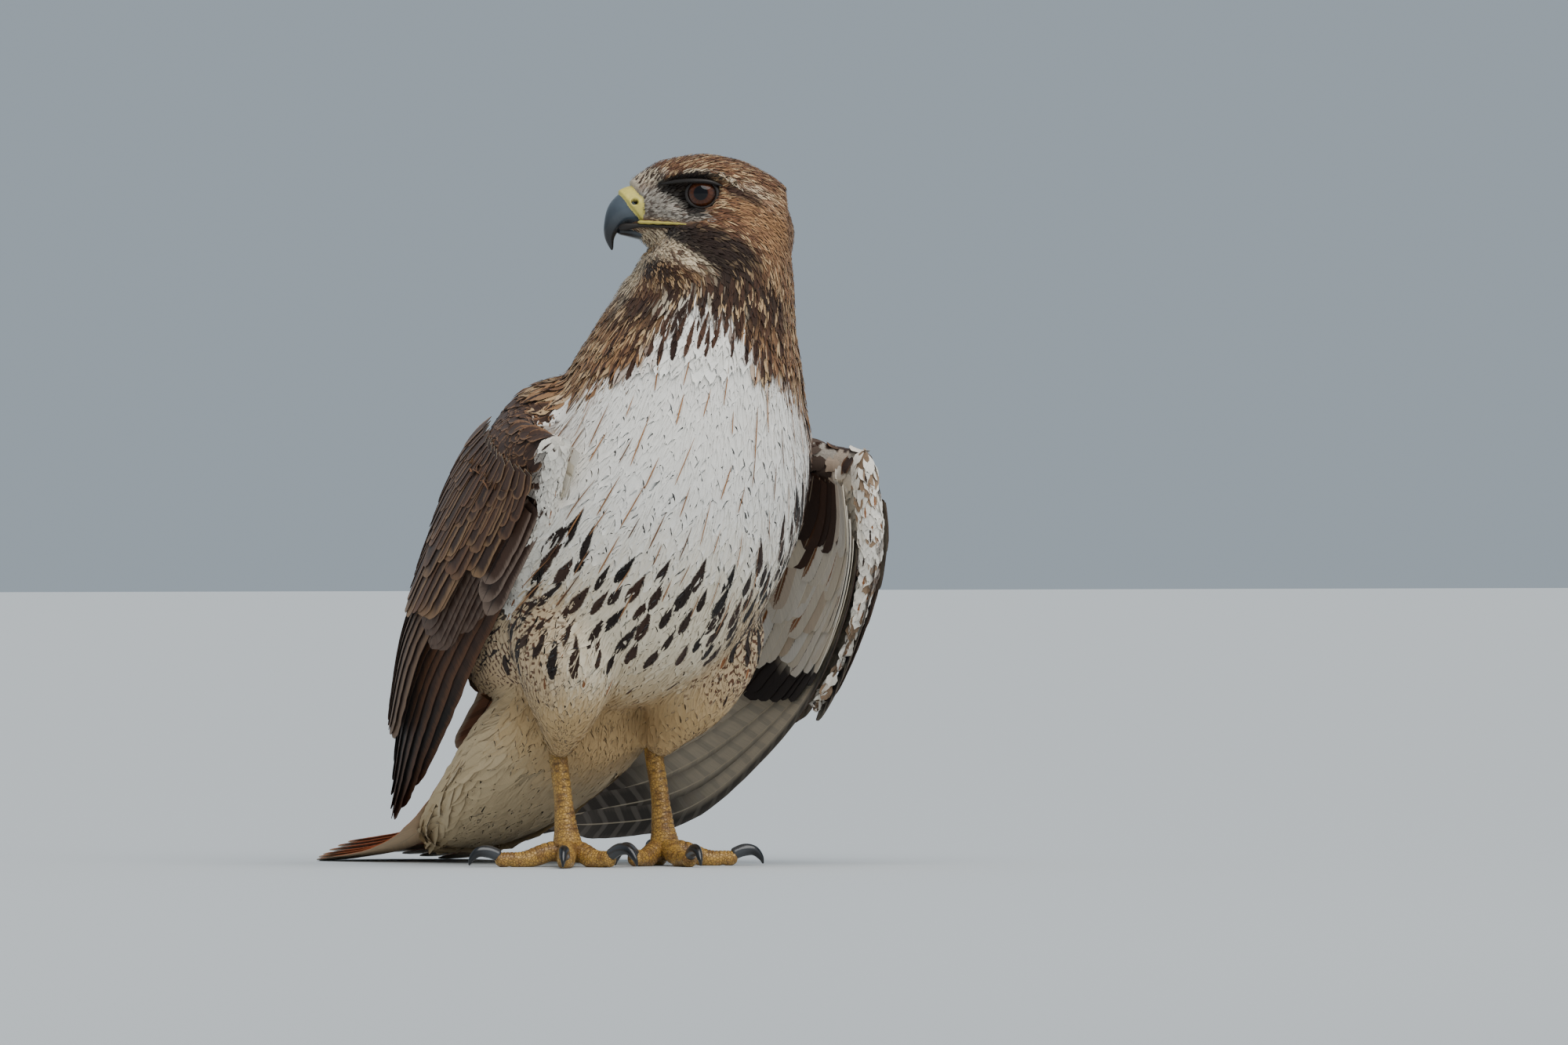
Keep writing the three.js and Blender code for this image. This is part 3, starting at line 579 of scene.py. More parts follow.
# Colours of the plumage
DARK = rgb("#2b1a12")
BROWN = rgb("#4e3425")
WARM = rgb("#7a5238")
RUFOUS = rgb("#9a6238")
TAWNY = rgb("#a5815a")
BUFF = rgb("#c8ab82")
CREAM = rgb("#dccdb2")
WHITE = rgb("#efebe3")
GREY = rgb("#a9a195")
RED_TAIL = rgb("#a2552c")
PALE_TAIL = rgb("#d9b48c")
BLACK = rgb("#17110e")

trunk_line = Curve(TRUNK_LINE)
TRUNK_T = np.linspace(0, 1, 160)
TRUNK_AT = trunk_line.at(TRUNK_T)
TRUNK_DIR = trunk_line.tangent(TRUNK_T)
vent_line = Curve(VENT_LINE)
VENT_AT = vent_line.at(np.linspace(0, 1, 40))
VENT_DIR = vent_line.tangent(np.linspace(0, 1, 40))
THIGH_AT = {s: Curve(mirrored(THIGH_LINE, s)).at(np.linspace(0.1, 1, 30)) for s in (1, -1)}
CORE_UV = np.stack(
    np.meshgrid(np.linspace(0, ARM_END, 9), np.linspace(0, 1, 13), indexing="ij"), -1,
).reshape(-1, 2)
RIM_UV = np.stack(
    np.meshgrid(np.linspace(ARM_END + 0.015, 0.38, 14), (-0.03, 0.04), indexing="ij"), -1,
).reshape(-1, 2)
CORE_UV = np.concatenate([CORE_UV, RIM_UV])
CORE_LEVEL = np.where(CORE_UV[:, 0] > ARM_END + 0.01, -2.0, 0.0)
CORE_AT = {
    name: surface.point(CORE_UV[:, 0], CORE_UV[:, 1])
    + surface.normal(CORE_UV[:, 0], CORE_UV[:, 1]) * CORE_LEVEL[:, None]
    for name, surface in wing.items()
}


def nearest(points, targets):
    """Index and distance of the nearest target to each point."""
    index, away = np.empty(len(points), int), np.empty(len(points))
    for i in range(0, len(points), 4000):
        d = np.linalg.norm(points[i : i + 4000, None] - targets[None], axis=2)
        index[i : i + 4000] = d.argmin(1)
        away[i : i + 4000] = d.min(1)
    return index, away


# Heading of the middle of the white front at each height, as the neck turns with the head
BIB_TURN = ((90, 200, 245, 275, 290, 308, 330), (-98, -108, -118, -124, -132, -165, -205))


def regions(p):
    """What each point of the skin is part of: weights, and the numbers that the markings use."""
    r = {}
    index = nearest(p, TRUNK_AT)[0]
    away = unit(p - TRUNK_AT[index])
    ahead = TRUNK_DIR[index]
    ventral = np.cross(np.array([1.0, 0, 0]), ahead)
    r["t"], r["ahead"] = TRUNK_T[index], ahead
    r["front"] = dot(away, ventral)
    r["side"] = away[:, 0]
    turned = np.radians(np.interp(p[:, 2], *BIB_TURN))
    facing = np.stack([np.cos(turned), np.sin(turned), 0 * turned], -1)
    facing = unit(facing - ahead * dot(facing, ahead)[:, None])
    r["bib"] = dot(away, facing)
    r["head_at"] = q = bird_to_head(p)
    r["head"] = step(296, 310, p[:, 2] + 0.25 * np.clip(q[:, 0], -30, 40))
    r["vent_dir"] = VENT_DIR[nearest(p, VENT_AT)[0]]
    r["vent"] = step(88, 62, p[:, 2]) * step(10, 34, p[:, 1]) * step(58, 44, np.abs(p[:, 0]))
    thigh_far = np.minimum(nearest(p, THIGH_AT[1])[1], nearest(p, THIGH_AT[-1])[1])
    r["thigh"] = step(128, 104, p[:, 2]) * step(34, 26, p[:, 1]) * (1 - r["vent"]) * step(44, 34, thigh_far)
    r["arm"] = np.zeros(len(p))
    r["arm_uv"] = np.zeros((len(p), 2))
    r["arm_top"] = np.zeros(len(p))
    r["arm_dir"] = np.zeros((len(p), 3))
    for name, at in CORE_AT.items():
        index, far = nearest(p, at)
        u, v = CORE_UV[index].T
        reach = np.where(u > ARM_END + 0.01, 12.0, 19.0)
        inside = step(1.0, 0.8, far / reach) * step(0.02, 0.06, 1.04 - v)
        here = inside > r["arm"]
        r["arm"] = np.where(here, inside, r["arm"])
        r["arm_uv"][here] = CORE_UV[index][here]
        above = dot(p - at[index], wing[name].normal(u, v))
        above = above - np.where(v < 0.09, 3.0, 0)
        r["arm_top"] = np.where(here, np.where(above > 0, 1.0, -1.0), r["arm_top"])
        lie = unit(wing[name].point(u + 0.03, v) - wing[name].point(u, v))
        r["arm_dir"][here] = lie[here]
    return r


def lie_of(p, r):
    """The way the feathers point at each place."""
    q = r["head_at"]
    back = unit(q - np.array([46.0, 0, -3]))
    back[:, 2] -= 0.55 * step(10, -30, q[:, 0])
    head = turned(back, HEAD_TURN)
    body = -r["ahead"] + np.stack([0 * p[:, 2], 0.55 * step(262, 200, p[:, 2]), 0 * p[:, 2] - 0.15], -1)
    down = np.array([0.0, 0.22, -1.0])
    way = blend(body, head, r["head"])
    way = blend(way, r["vent_dir"], r["vent"])
    way = blend(way, np.broadcast_to(down, way.shape), r["thigh"])
    return unit(blend(way, r["arm_dir"], step(0.3, 0.7, r["arm"])))


def stroke(q, points, sizes, edge=0.35):
    """Weight of a soft stroke through points of the head's frame, the same on both sides."""
    q = np.stack([q[:, 0], np.abs(q[:, 1]), q[:, 2]], -1)
    line = Curve([(*p, w) for p, w in zip(points, sizes)]).at(np.linspace(0, 1, 14))
    out = np.zeros(len(q))
    for a, b in zip(line, line[1:]):
        along = b[:3] - a[:3]
        t = np.clip(dot(q - a[:3], along) / dot(along, along), 0, 1)
        away = np.linalg.norm(q - a[:3] - t[:, None] * along, axis=1) / mix(a[3], b[3], t)
        out = np.maximum(out, step(1 + edge, 1 - edge, away))
    return out


def head_colours(q, chance):
    """Base and mark colours of the head's small feathers, and how far each is streaked."""
    n = len(q)
    x, y, z = q[:, 0], np.abs(q[:, 1]), q[:, 2]
    base = np.tile(mix(WARM, BROWN, 0.35), (n, 1))
    base = blend(base, TAWNY, step(0.45, 0.8, chance) * 0.6)
    base = blend(base, BUFF, step(0.84, 0.86, chance) * 0.75)
    base = blend(base, BROWN, (chance < 0.22) * 0.8)
    base = blend(base, mix(TAWNY, WARM, 0.5), step(-12, -30, x) * step(18, 4, z) * 0.45)
    calm = stroke(
        q, [(17, 24.5, 21), (6, 30, 21.5), (-5, 31.5, 20), (-16, 29, 15.5), (-28, 26, 8), (-36, 19, 0)],
        [1.8, 2.6, 3.8, 5, 6, 6],
    )
    base = blend(base, CREAM, calm * np.where(chance > 0.35, 0.85, 0.2) * step(-36, 2, x))
    ruff = stroke(q, [(37, 5, -24), (27, 20, -29), (14, 32, -36), (2, 37, -41)], [6, 8, 8, 7])
    ruff = np.maximum(ruff, step(-20, -25, z) * step(14, 9, y) * step(2, 12, x))
    base = blend(base, mix(DARK, BLACK, 0.3), ruff * np.where(chance < 0.7, 0.9, 0.1))
    base = blend(base, TAWNY, ruff * np.where(chance > 0.8, 0.6, 0))
    tan = stroke(q, [(-10, 30, 2), (-18, 30, -2), (-27, 27, -8)], [7, 9, 9])
    base = blend(base, mix(TAWNY, RUFOUS, 0.3), tan * np.where(chance > 0.4, 0.7, 0.2))
    throat = stroke(
        q, [(33, 9, -16), (25, 20, -16), (15, 33, -21), (4, 38, -27), (-4, 38, -33)], [9, 8, 6.5, 5, 4],
    )
    throat = np.maximum(throat, step(-13, -18, z) * step(17, 10, y) * step(2, 12, x))
    base = blend(base, mix(CREAM, BUFF, 0.3), throat * np.where(chance > 0.25, 0.88, 0.2))
    base = blend(base, BROWN, throat * np.where(chance < 0.22, 0.7, 0))
    malar = stroke(
        q, [(24, 19, -9.5), (15, 31, -11.5), (2, 38, -18), (-10, 40, -28), (-16, 40, -44)],
        [2.6, 6.5, 10.5, 13, 12], 0.3,
    )
    base = blend(base, mix(BLACK, DARK, 0.5), malar * np.where(chance > 0.9, 0.86, 0.97))
    behind = stroke(q, [(-4, 30, 11), (-11, 30.5, 10), (-19, 29, 6)], [3, 3, 2])
    base = blend(base, DARK, behind * 0.8)
    front = stroke(q, [(44, 3, 13), (38, 6, 17), (31, 11, 18.5), (27, 15, 15)], [6, 6, 5, 3])
    base = blend(base, mix(CREAM, GREY, 0.3), front * np.where(chance > 0.55, 0.85, 0.2))
    base = blend(base, DARK, front * np.where(chance < 0.5, 0.85, 0))
    lore = stroke(q, [(37, 12, 5), (30, 16, 5), (24, 20, 3), (15, 25, -1), (5, 29, -3)], [7, 8, 7, 4, 2.2])
    base = blend(base, GREY, lore * np.where(chance > 0.3, 0.92, 0.5))
    base = blend(base, DARK, lore * np.where(chance < 0.3, 0.6, 0) + lore * step(24, 12, x) * 0.25)
    # Black round the front of the eye and along under the brow: partly the dark feathers there, partly
    # painted shadow of the brow's overhang
    eye = stroke(q, [(27, 17, 13.5), (19, 21.5, 10.5), (15.5, 24, 5), (11, 27, 1)], [3.4, 6, 5, 3])
    brow = stroke(
        q, [(29, 15, 14), (20, 22.5, 16.5), (12, 26.5, 17), (0, 31, 16.8), (-8, 31, 12.5)],
        [1.4, 2.2, 2.4, 2.4, 2.2],
    )
    base = blend(base, BLACK, np.maximum(eye, brow) * 0.95)
    mark = np.tile(DARK, (n, 1))
    calm_down = 1 - np.clip(throat + malar + front + lore + eye + brow, 0, 1)
    return base, mark, 0.28 * calm_down * (chance > 0.25)


def body_colours(p, r, chance, other):
    """Base, mark, edge, shaft colours and the streak, bar and fringe values of the body's feathers."""
    n = len(p)
    y, z = p[:, 1], p[:, 2]
    front, bib = r["front"], r["bib"]
    base = np.tile(WHITE, (n, 1))
    edge = np.tile(CREAM, (n, 1))
    streak, bars, fringe = np.zeros(n), np.zeros(n), np.zeros(n)
    # White breast, cream and then buff towards the belly, darker lower down: partly the feathers' own buff,
    # partly painted shade of the underside
    base = blend(base, rgb("#e2d4ba"), step(205, 130, z))
    base = blend(base, rgb("#c6ac83"), step(128, 88, z) * 0.9)
    # Barred flanks, on which each feather has its own chevrons
    flank = step(0.93, 0.74, bib) * step(164, 140, z) * step(84, 98, z)
    bars = flank * np.where(chance > 0.12, 1.0, 0.4)
    base = blend(base, rgb("#bda079"), flank * 0.8)
    # Rufous sides of the breast, brown above
    wobble = (other - 0.5) * 0.3
    side = step(0.42, 0.05, bib + wobble)
    rusty = side * step(272, 250, z) * step(140, 180, z)
    base = blend(base, mix(TAWNY, RUFOUS, 0.5), rusty * mix(0.35, 0.9, other))
    # Neck: brown, with a cream and dark striped collar over the top of the white front
    bib_top = np.interp(bib, (-1, 0.1, 0.5, 0.8, 0.93, 1), (228, 238, 248, 261, 278, 290)) + (other - 0.5) * 9
    neck = step(-6, 6, z - bib_top)
    tones = blend(
        np.tile(mix(TAWNY, WARM, 0.45), (n, 1)), mix(BUFF, TAWNY, 0.25), step(0.7, 0.74, chance) * 0.8,
    )
    tones = blend(tones, mix(BROWN, WARM, 0.5), step(0.22, 0.18, chance) * 0.7)
    dark_side = step(0.15, 0.5, bib) * step(274, 290, z)
    tones = blend(tones, mix(DARK, BLACK, 0.4), dark_side * np.where(chance < 0.78, 0.95, 0.1))
    stripes = step(0.8, 0.97, bib) * step(302, 290, z)
    tones = blend(tones, CREAM, stripes * np.where(other > 0.62, 0.9, 0.0))
    base = blend(base, tones, neck)
    streak = np.maximum(streak, neck * (1 - dark_side) * 0.2)
    # Brown back, its feathers edged paler
    back = step(0.02, -0.22, front + 0.4 * step(228, 250, z))
    base = blend(base, mix(BROWN, DARK, 0.4), back * (1 - 0.6 * neck))
    edge = blend(edge, mix(WARM, TAWNY, 0.5), back)
    fringe = back * (1 - neck) * 0.7
    bars = bars * (1 - back)
    rump = back * step(60, 84, y)
    base = blend(base, mix(RUFOUS, BUFF, 0.5), rump * 0.8)
    # Vent and thighs: plain cream and buff, the lower thighs darker: partly the feathers' own colour, partly
    # painted shade of the underside
    base = blend(base, rgb("#c9b28c"), r["vent"])
    bars = bars * (1 - r["vent"]) * (1 - r["thigh"] * step(104, 90, z))
    # painted shade in part: the lower thighs darker
    low = r["thigh"] * step(104, 84, z)
    base = blend(base, rgb("#bf9f70"), low * 0.9)
    mark = blend(np.tile(DARK, (n, 1)), WARM, flank * 0.5)
    shaft = blend(base, mark, 0.02 + 0.22 * np.maximum(neck, back))
    return base, mark, edge, shaft, streak, bars, fringe


def arm_colours(p, r, chance, other):
    """Small coverts over and under the wrist."""
    n = len(p)
    u, v = r["arm_uv"].T
    left = p[:, 0] > 0
    top = (r["arm_top"] > 0) | ((u < np.where(left, 0.012, 0.03)) & (v > np.where(left, 0.2, 0.12)))
    base = blend(np.tile(mix(BROWN, DARK, 0.5), (n, 1)), DARK, other * 0.5)
    edge = np.tile(mix(WARM, TAWNY, 0.35), (n, 1))
    mark = np.tile(DARK, (n, 1))
    fringe = np.full(n, 0.6)
    streak = np.full(n, 0.08)
    under = ~top
    base = blend(base, mix(CREAM, WHITE, 0.6), under * 1.0)
    streak = np.where(under, np.where(chance < 0.25, 0.2, 0.0), streak)
    mark = blend(mark, RUFOUS, (under & (other > 0.4)) * 0.8)
    fringe = np.where(under, 0.0, fringe)
    patch = under * left * step(0.38, 0.46, v) * step(0.24, 0.18, u)
    base = blend(base, mix(DARK, BROWN, 0.3), patch * np.where(chance < 0.9, 0.95, 0.4))
    rusty = under * left * step(0.28, 0.38, v) * step(0.6, 0.5, v) * (1 - patch)
    base = blend(base, mix(RUFOUS, BUFF, 0.4), rusty * np.where(other > 0.35, 0.7, 0.1))
    rim = step(0.1, 0.06, v) * np.where(left & top, 0.35, 1.0) * np.where((u < 0.012) & ~left, 0.0, 1.0)
    base = blend(base, mix(WHITE, CREAM, 0.3), rim * (chance < np.where(left, 0.72, 0.98)) * 0.9)
    base = blend(base, mix(BROWN, TAWNY, 0.5), rim * left * (chance > 0.76) * 0.9)
    edge = blend(edge, WHITE, rim)
    fringe = fringe * (1 - rim * ~left)
    shaft = base * 0.6
    return base, mark, edge, shaft, streak, np.zeros(n), fringe


def in_cere(q):
    """The bare front of the face under the cere: its edge leans forward over the bill at the forehead."""
    return (q[:, 0] > 35.2 + 0.55 * np.clip(q[:, 2] - 8, 0, 14)) & (q[:, 2] > -7)


# The skin: one surface under all the feathers


def make_skin():
    parts = [limb(TRUNK_LINE, TRUNK_SIZE, around=64, along=60, ends=(0.05, 0.05))]
    parts.append(limb(VENT_LINE, VENT_SIZE, around=48, along=40))
    for s in (1, -1):
        parts.append(limb(mirrored(THIGH_LINE, s), THIGH_SIZE, around=48, along=40))
        centre, radii = SHOULDER
        parts.append(ellipsoid((s * centre[0], centre[1], centre[2]), radii, math.radians(28)))
        parts.append(core_of(wing["left" if s == 1 else "right"]))
        parts.append(edge_of(wing["left" if s == 1 else "right"]))
    skull = limb(HEAD_LINE, HEAD_SIZE, side=(0, 1, 0), around=64, along=60, ends=(0.12, 0.1))
    parts.append((head_to_bird(skull[0]), skull[1]))
    for s in (1, -1):
        brow = limb([(x, s * y, z) for x, y, z in BROW_LINE], BROW_SIZE, side=(0, 1, 0), around=20, along=24)
        parts.append((head_to_bird(brow[0]), brow[1]))
    item = add_mesh("skin", *merged(parts))
    shape = item.modifiers.new("shape", "REMESH")
    shape.mode, shape.voxel_size = "VOXEL", VOXEL
    evaluated = item.evaluated_get(bpy.context.evaluated_depsgraph_get())
    item.data = bpy.data.meshes.new_from_object(evaluated)
    item.modifiers.clear()
    low = item.vertex_groups.new(name="low")
    for vert in item.data.vertices:
        z = vert.co.z * 1000 - SHIFT[2]
        low.add([vert.index], float(step(300, 250, z)) * 0.4 + float(step(170, 130, z)) * 0.6, "REPLACE")
    smooth = item.modifiers.new("smooth", "SMOOTH")
    smooth.factor, smooth.iterations = 0.5, SMOOTH_ALL
    smooth = item.modifiers.new("smooth low", "SMOOTH")
    smooth.factor, smooth.iterations, smooth.vertex_group = 0.5, SMOOTH_LOW, "low"
    evaluated = item.evaluated_get(bpy.context.evaluated_depsgraph_get())
    mesh = bpy.data.meshes.new_from_object(evaluated)
    item.modifiers.clear()
    item.data = mesh
    count = len(mesh.vertices)
    p, n = np.empty(count * 3), np.empty(count * 3)
    mesh.vertices.foreach_get("co", p)
    mesh.vertex_normals.foreach_get("vector", n)
    p, n = p.reshape(-1, 3) * 1000 - SHIFT, n.reshape(-1, 3)
    q = bird_to_head(p)
    depth = mix(COAT, 1.0, step(300, 312, p[:, 2] + 0.3 * np.clip(q[:, 0], 0, 40)) * step(-30, 10, q[:, 0]))
    p = p - n * depth[:, None]
    q = bird_to_head(p)
    # Hollow before each eye, and the socket
    for s in (1, -1):
        (cx, cy, cz), (rx, ry, rz) = LORE
        e = 1 - ((q[:, 0] - cx) / rx) ** 2 - ((q[:, 2] - cz) / rz) ** 2
        floor = cy - ry * np.sqrt(np.clip(e, 0, 1))
        inside = (e > 0) & (q[:, 1] * s > floor)
        q[inside, 1] = s * floor[inside]
        aim, along, off = from_eye(q, s)
        sink = step(EYE_OPENING + 1.5, EYE_OPENING - 0.6, off) * (along > 0)
        q -= aim * (sink * np.clip(along + 2, 0, None))[:, None]
    under = in_cere(q) * 1.0
    q[:, 1] *= 1 - 0.35 * under
    q[:, 2] = mix(q[:, 2], 3 + (q[:, 2] - 3) * 0.6, under)
    q[:, 0] = np.where(under > 0, np.minimum(q[:, 0], 39), q[:, 0])
    q[:, 2] -= 2.2 * step(24, 36, q[:, 0]) * step(6, 14, q[:, 2])
    p = head_to_bird(q)
    mesh.vertices.foreach_set("co", ((p + SHIFT) / 1000).ravel())
    mesh.polygons.foreach_set("use_smooth", np.full(len(mesh.polygons), True))
    mesh.update()
    return item, p


skin, skin_points = make_skin()
skin.data.calc_loop_triangles()
triangles = np.empty(len(skin.data.loop_triangles) * 3, int)
skin.data.loop_triangles.foreach_get("vertices", triangles)
triangles = triangles.reshape(-1, 3)
vertex_normals = np.empty(len(skin_points) * 3)
skin.data.vertex_normals.foreach_get("vector", vertex_normals)
vertex_normals = vertex_normals.reshape(-1, 3)
face_normals = unit(vertex_normals[triangles].mean(1))
skin_tree = BVHTree.FromPolygons(skin_points.tolist(), triangles.tolist())


def onto_skin(p):
    """The nearest skin point to each point, and its smooth normal."""
    at, face = np.empty_like(p), np.empty(len(p), int)
    for i, point in enumerate(p):
        hit, _, index, _ = skin_tree.find_nearest(point)
        at[i], face[i] = hit, index
    return at, face_normals[face]


CELL = 2.0  # millimetres between the lines of the grid in which neighbours are looked for


def near_by(d, gap):
    return d[0] * d[0] + d[1] * d[1] + d[2] * d[2] < gap * gap


def scatter(spacing, tries, keep=None):
    """Roots spread evenly over the skin, at the spacing that the given function sets at each place."""
    a, b, c = (skin_points[triangles[:, k]] for k in range(3))
    area = np.linalg.norm(np.cross(b - a, c - a), axis=1)
    face = rng.choice(len(area), tries, p=area / area.sum())
    s, t = rng.random((2, tries))
    flip = s + t > 1
    s, t = np.where(flip, 1 - s, s), np.where(flip, 1 - t, t)
    p = a[face] + (b - a)[face] * s[:, None] + (c - a)[face] * t[:, None]
    n = face_normals[face]
    if keep is not None:
        kept = keep(p)
        p, n = p[kept], n[kept]
    gap = spacing(p)
    kept = gap > 0
    p, n, gap = p[kept], n[kept], gap[kept]
    taken, chosen = {}, []
    keys = np.floor(p / CELL).astype(int)
    for i, (key, g) in enumerate(zip(map(tuple, keys), gap)):
        reach = range(-math.ceil(g / CELL), math.ceil(g / CELL) + 1)
        cells = ((key[0] + dx, key[1] + dy, key[2] + dz) for dx, dy, dz in product(reach, repeat=3))
        if not any(near_by(p[i] - p[j], g) for cell in cells for j in taken.get(cell, ())):
            taken.setdefault(key, []).append(i)
            chosen.append(i)
    return p[chosen], n[chosen]


def combed(p, n, r, spread):
    """The lie along the skin, with a random turn."""
    way = lie_of(p, r)
    way = unit(way - n * dot(way, n)[:, None])
    turn = rng.normal(0, spread, len(p))
    return unit(way * np.cos(turn)[:, None] + np.cross(n, way) * np.sin(turn)[:, None])


class Drops:
    """Dark marks that run with the coat: a place, a run, a half length, a half width and a colour each."""

    def __init__(self):
        self.at, self.way, self.across, self.size, self.colour = [], [], [], [], []

    def strew(self, spacing, tries, half_length, half_width, colour, keep=None):
        p, n = scatter(spacing, tries, keep)
        r = regions(p)
        way = combed(p, n, r, 0.08)
        grow = rng.uniform(0.75, 1.2, len(p))
        self.at.append(p)
        self.way.append(way)
        self.across.append(np.cross(n, way))
        self.size.append(
            np.stack([half_length(p, r) * grow, half_width(p, r) * grow * rng.uniform(0.8, 1.2, len(p))], -1)
        )
        self.colour.append(blend(np.tile(colour[0], (len(p), 1)), colour[1], rng.random(len(p))))
        return self

    def close(self):
        self.at, self.way, self.across, self.size, self.colour = (
            np.concatenate(v) for v in (self.at, self.way, self.across, self.size, self.colour)
        )

    def nearest_to(self, p):
        """The mark that reaches nearest to each place, and whether it comes near."""
        best, index = np.full(len(p), 1e9), np.zeros(len(p), int)
        for i in range(0, len(p), 2000):
            delta = p[i : i + 2000, None] - self.at[None]
            s = dot(delta, self.way[None]) / self.size[None, :, 0]
            w = dot(delta, self.across[None]) / np.maximum(self.size[None, :, 1] + 1.2, 1.6)
            d = s * s + w * w + (np.abs(dot(delta, np.cross(self.way, self.across)[None])) > 14) * 50
            index[i : i + 2000] = d.argmin(1)
            best[i : i + 2000] = d.min(1)
        return index, (best < 9) * 1.0

    def local(self, p, index, near):
        """Places p (... x 3) in the frame of a mark each: across, along and how strong."""
        extra = (slice(None),) + (None,) * (p.ndim - 2)
        delta = p - self.at[index][extra]
        w = dot(delta, self.across[index][extra]) / self.size[index, 1][extra]
        s = dot(delta, self.way[index][extra]) / self.size[index, 0][extra]
        return np.stack([np.clip(w, -9, 9), np.clip(s, -9, 9), np.broadcast_to(near[extra], w.shape)], -1)


def in_drop(local):
    """How far a place is inside its mark, as the shader draws it."""
    w, s, near = local[..., 0], local[..., 1], local[..., 2]
    full = (
        np.clip((s + 1) / 1.2, 0, 1) ** 0.9
        * np.sqrt(np.clip(1 - (np.clip(s - 0.2, 0, None) / 0.8) ** 2, 0, 1))
    )
    return step(0.15, -0.15, np.abs(w) - full) * (np.abs(s) < 1) * near


def make_drops():
    drops = Drops()

    def off_limbs(r):
        return (r["arm"] < 0.3) & ((r["thigh"] < 0.7) | (r["side"] < -0.5)) & (r["vent"] < 0.5)

    def belly(p):
        r = regions(p)
        top = np.interp(r["bib"], (0, 0.45, 0.85, 1), (205, 196, 158, 150))
        inside = (
            (p[:, 2] < top) & (p[:, 2] > mix(96, 106, step(0.5, 0.8, r["bib"]))) & (r["bib"] > -0.15)
            & (r["front"] > -0.1) & off_limbs(r)
        )
        return np.where(
            inside,
            mix(6.8, 10.0, step(0.4, 0.85, r["bib"]))
            - 1.4 * step(160, 140, p[:, 2]) * step(0.6, 0.4, r["bib"]),
            0,
        )

    def collar(p):
        r = regions(p)
        low = np.interp(r["bib"], (0, 0.5, 0.8, 1), (236, 246, 256, 268))
        inside = (p[:, 2] > low) & (p[:, 2] < 306) & (r["bib"] > 0.5)
        return np.where(inside, mix(7.5, 5.0, step(0.5, 0.8, r["bib"])), 0)

    def thigh(p):
        r = regions(p)
        return np.where((r["thigh"] > 0.5) & (p[:, 2] > 84) & (r["front"] > 0), 17, 0)

    def flat(value):
        return lambda p, r: np.full(len(p), value)

    drops.strew(
        belly, TRIES["belly"], lambda p, r: mix(12.5, 10.5, step(0.4, 0.9, r["bib"])),
        lambda p, r: mix(2.7, 2.5, step(0.4, 0.8, r["bib"])), (BLACK, mix(DARK, BROWN, 0.4)),
    )
    drops.strew(collar, TRIES["collar"], flat(9.5), flat(1.5), (DARK, BROWN))
    drops.strew(thigh, TRIES["thigh"], flat(5.0), flat(0.9), (DARK, RUFOUS))
    drops.close()
    return drops


def unwrap(r):
    """Places on an unwrap of the skin: turn round the trunk line and share along it, the head above."""
    q = r["head_at"]
    body_u = np.arctan2(r["side"], r["front"]) / (2 * np.pi) + 0.5
    body_v = 0.02 + 0.5 * np.clip(r["t"], 0, 1)
    head_u = np.arctan2(q[:, 1], q[:, 0]) / (2 * np.pi) + 0.5
    head_v = 0.56 + 0.42 * np.clip((q[:, 2] + 40) / 80, 0, 1)
    on_head = r["head"] > 0.5
    return np.stack([np.where(on_head, head_u, body_u) * 0.98 + 0.01, np.where(on_head, head_v, body_v)], -1)


class Coat:
    """Feathers gathered as arrays and made into one mesh."""

    def __init__(self, name, material, slot):
        self.name, self.material, self.slot = name, material, slot
        self.parts = []

    def add(self, grid, vane, dims, base, mark, edge, shaft, pattern, bake, drop=None, ink=None):
        """Adds feathers x rows x cols x 3 points. Other values are for each feather, or each point."""
        drop = np.zeros((len(grid), 3)) if drop is None else drop
        self.parts.append(
            (grid, vane, dims, base, mark, edge, shaft, pattern, bake, drop, base if ink is None else ink)
        )

    def build(self):
        verts, faces, count = [], [], 0
        data = {
            k: [] for k in ("vane", "dims", "base", "mark", "edge", "shaft", "pattern", "bake", "drop", "ink")
        }
        for grid, vane, dims, *rest in self.parts:
            n, rows, cols, _ = grid.shape
            one = grid_faces(rows, cols)
            faces.append((one[None] + (np.arange(n) * rows * cols)[:, None, None] + count).reshape(-1, 4))
            verts.append(grid.reshape(-1, 3))
            count += n * rows * cols
            for key, value in zip(data, (vane, dims, *rest)):
                value = np.asarray(value, float)
                if value.ndim == 2:
                    value = value[:, None, None, :]
                data[key].append(
                    np.broadcast_to(value, (n, rows, cols, value.shape[-1])).reshape(-1, value.shape[-1])
                )
        verts, faces = np.concatenate(verts), np.concatenate(faces)
        mesh = bpy.data.meshes.new(self.name)
        mesh.from_pydata(((verts + SHIFT) / 1000).tolist(), [], faces.tolist())
        for key in ("vane", "dims", "pattern", "drop"):
            layer = mesh.attributes.new(key, "FLOAT_VECTOR", "POINT")
            layer.data.foreach_set("vector", np.concatenate(data[key]).astype(np.float32).ravel())
        for key in ("base", "mark", "edge", "shaft", "ink"):
            colour = np.concatenate(data[key])
            layer = mesh.attributes.new(key, "FLOAT_COLOR", "POINT")
            layer.data.foreach_set(
                "color", np.hstack([colour, np.ones((len(colour), 1))]).astype(np.float32).ravel(),
            )
        layer = mesh.uv_layers.new(name="OFBake")
        layer.data.foreach_set("uv", np.concatenate(data["bake"])[faces.ravel()].astype(np.float32).ravel())
        mesh.polygons.foreach_set("use_smooth", np.full(len(mesh.polygons), True))
        mesh.update()
        item = bpy.data.objects.new(self.name, mesh)
        bpy.context.scene.collection.objects.link(item)
        mesh.materials.append(self.material)
        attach(item, "root")
        return item


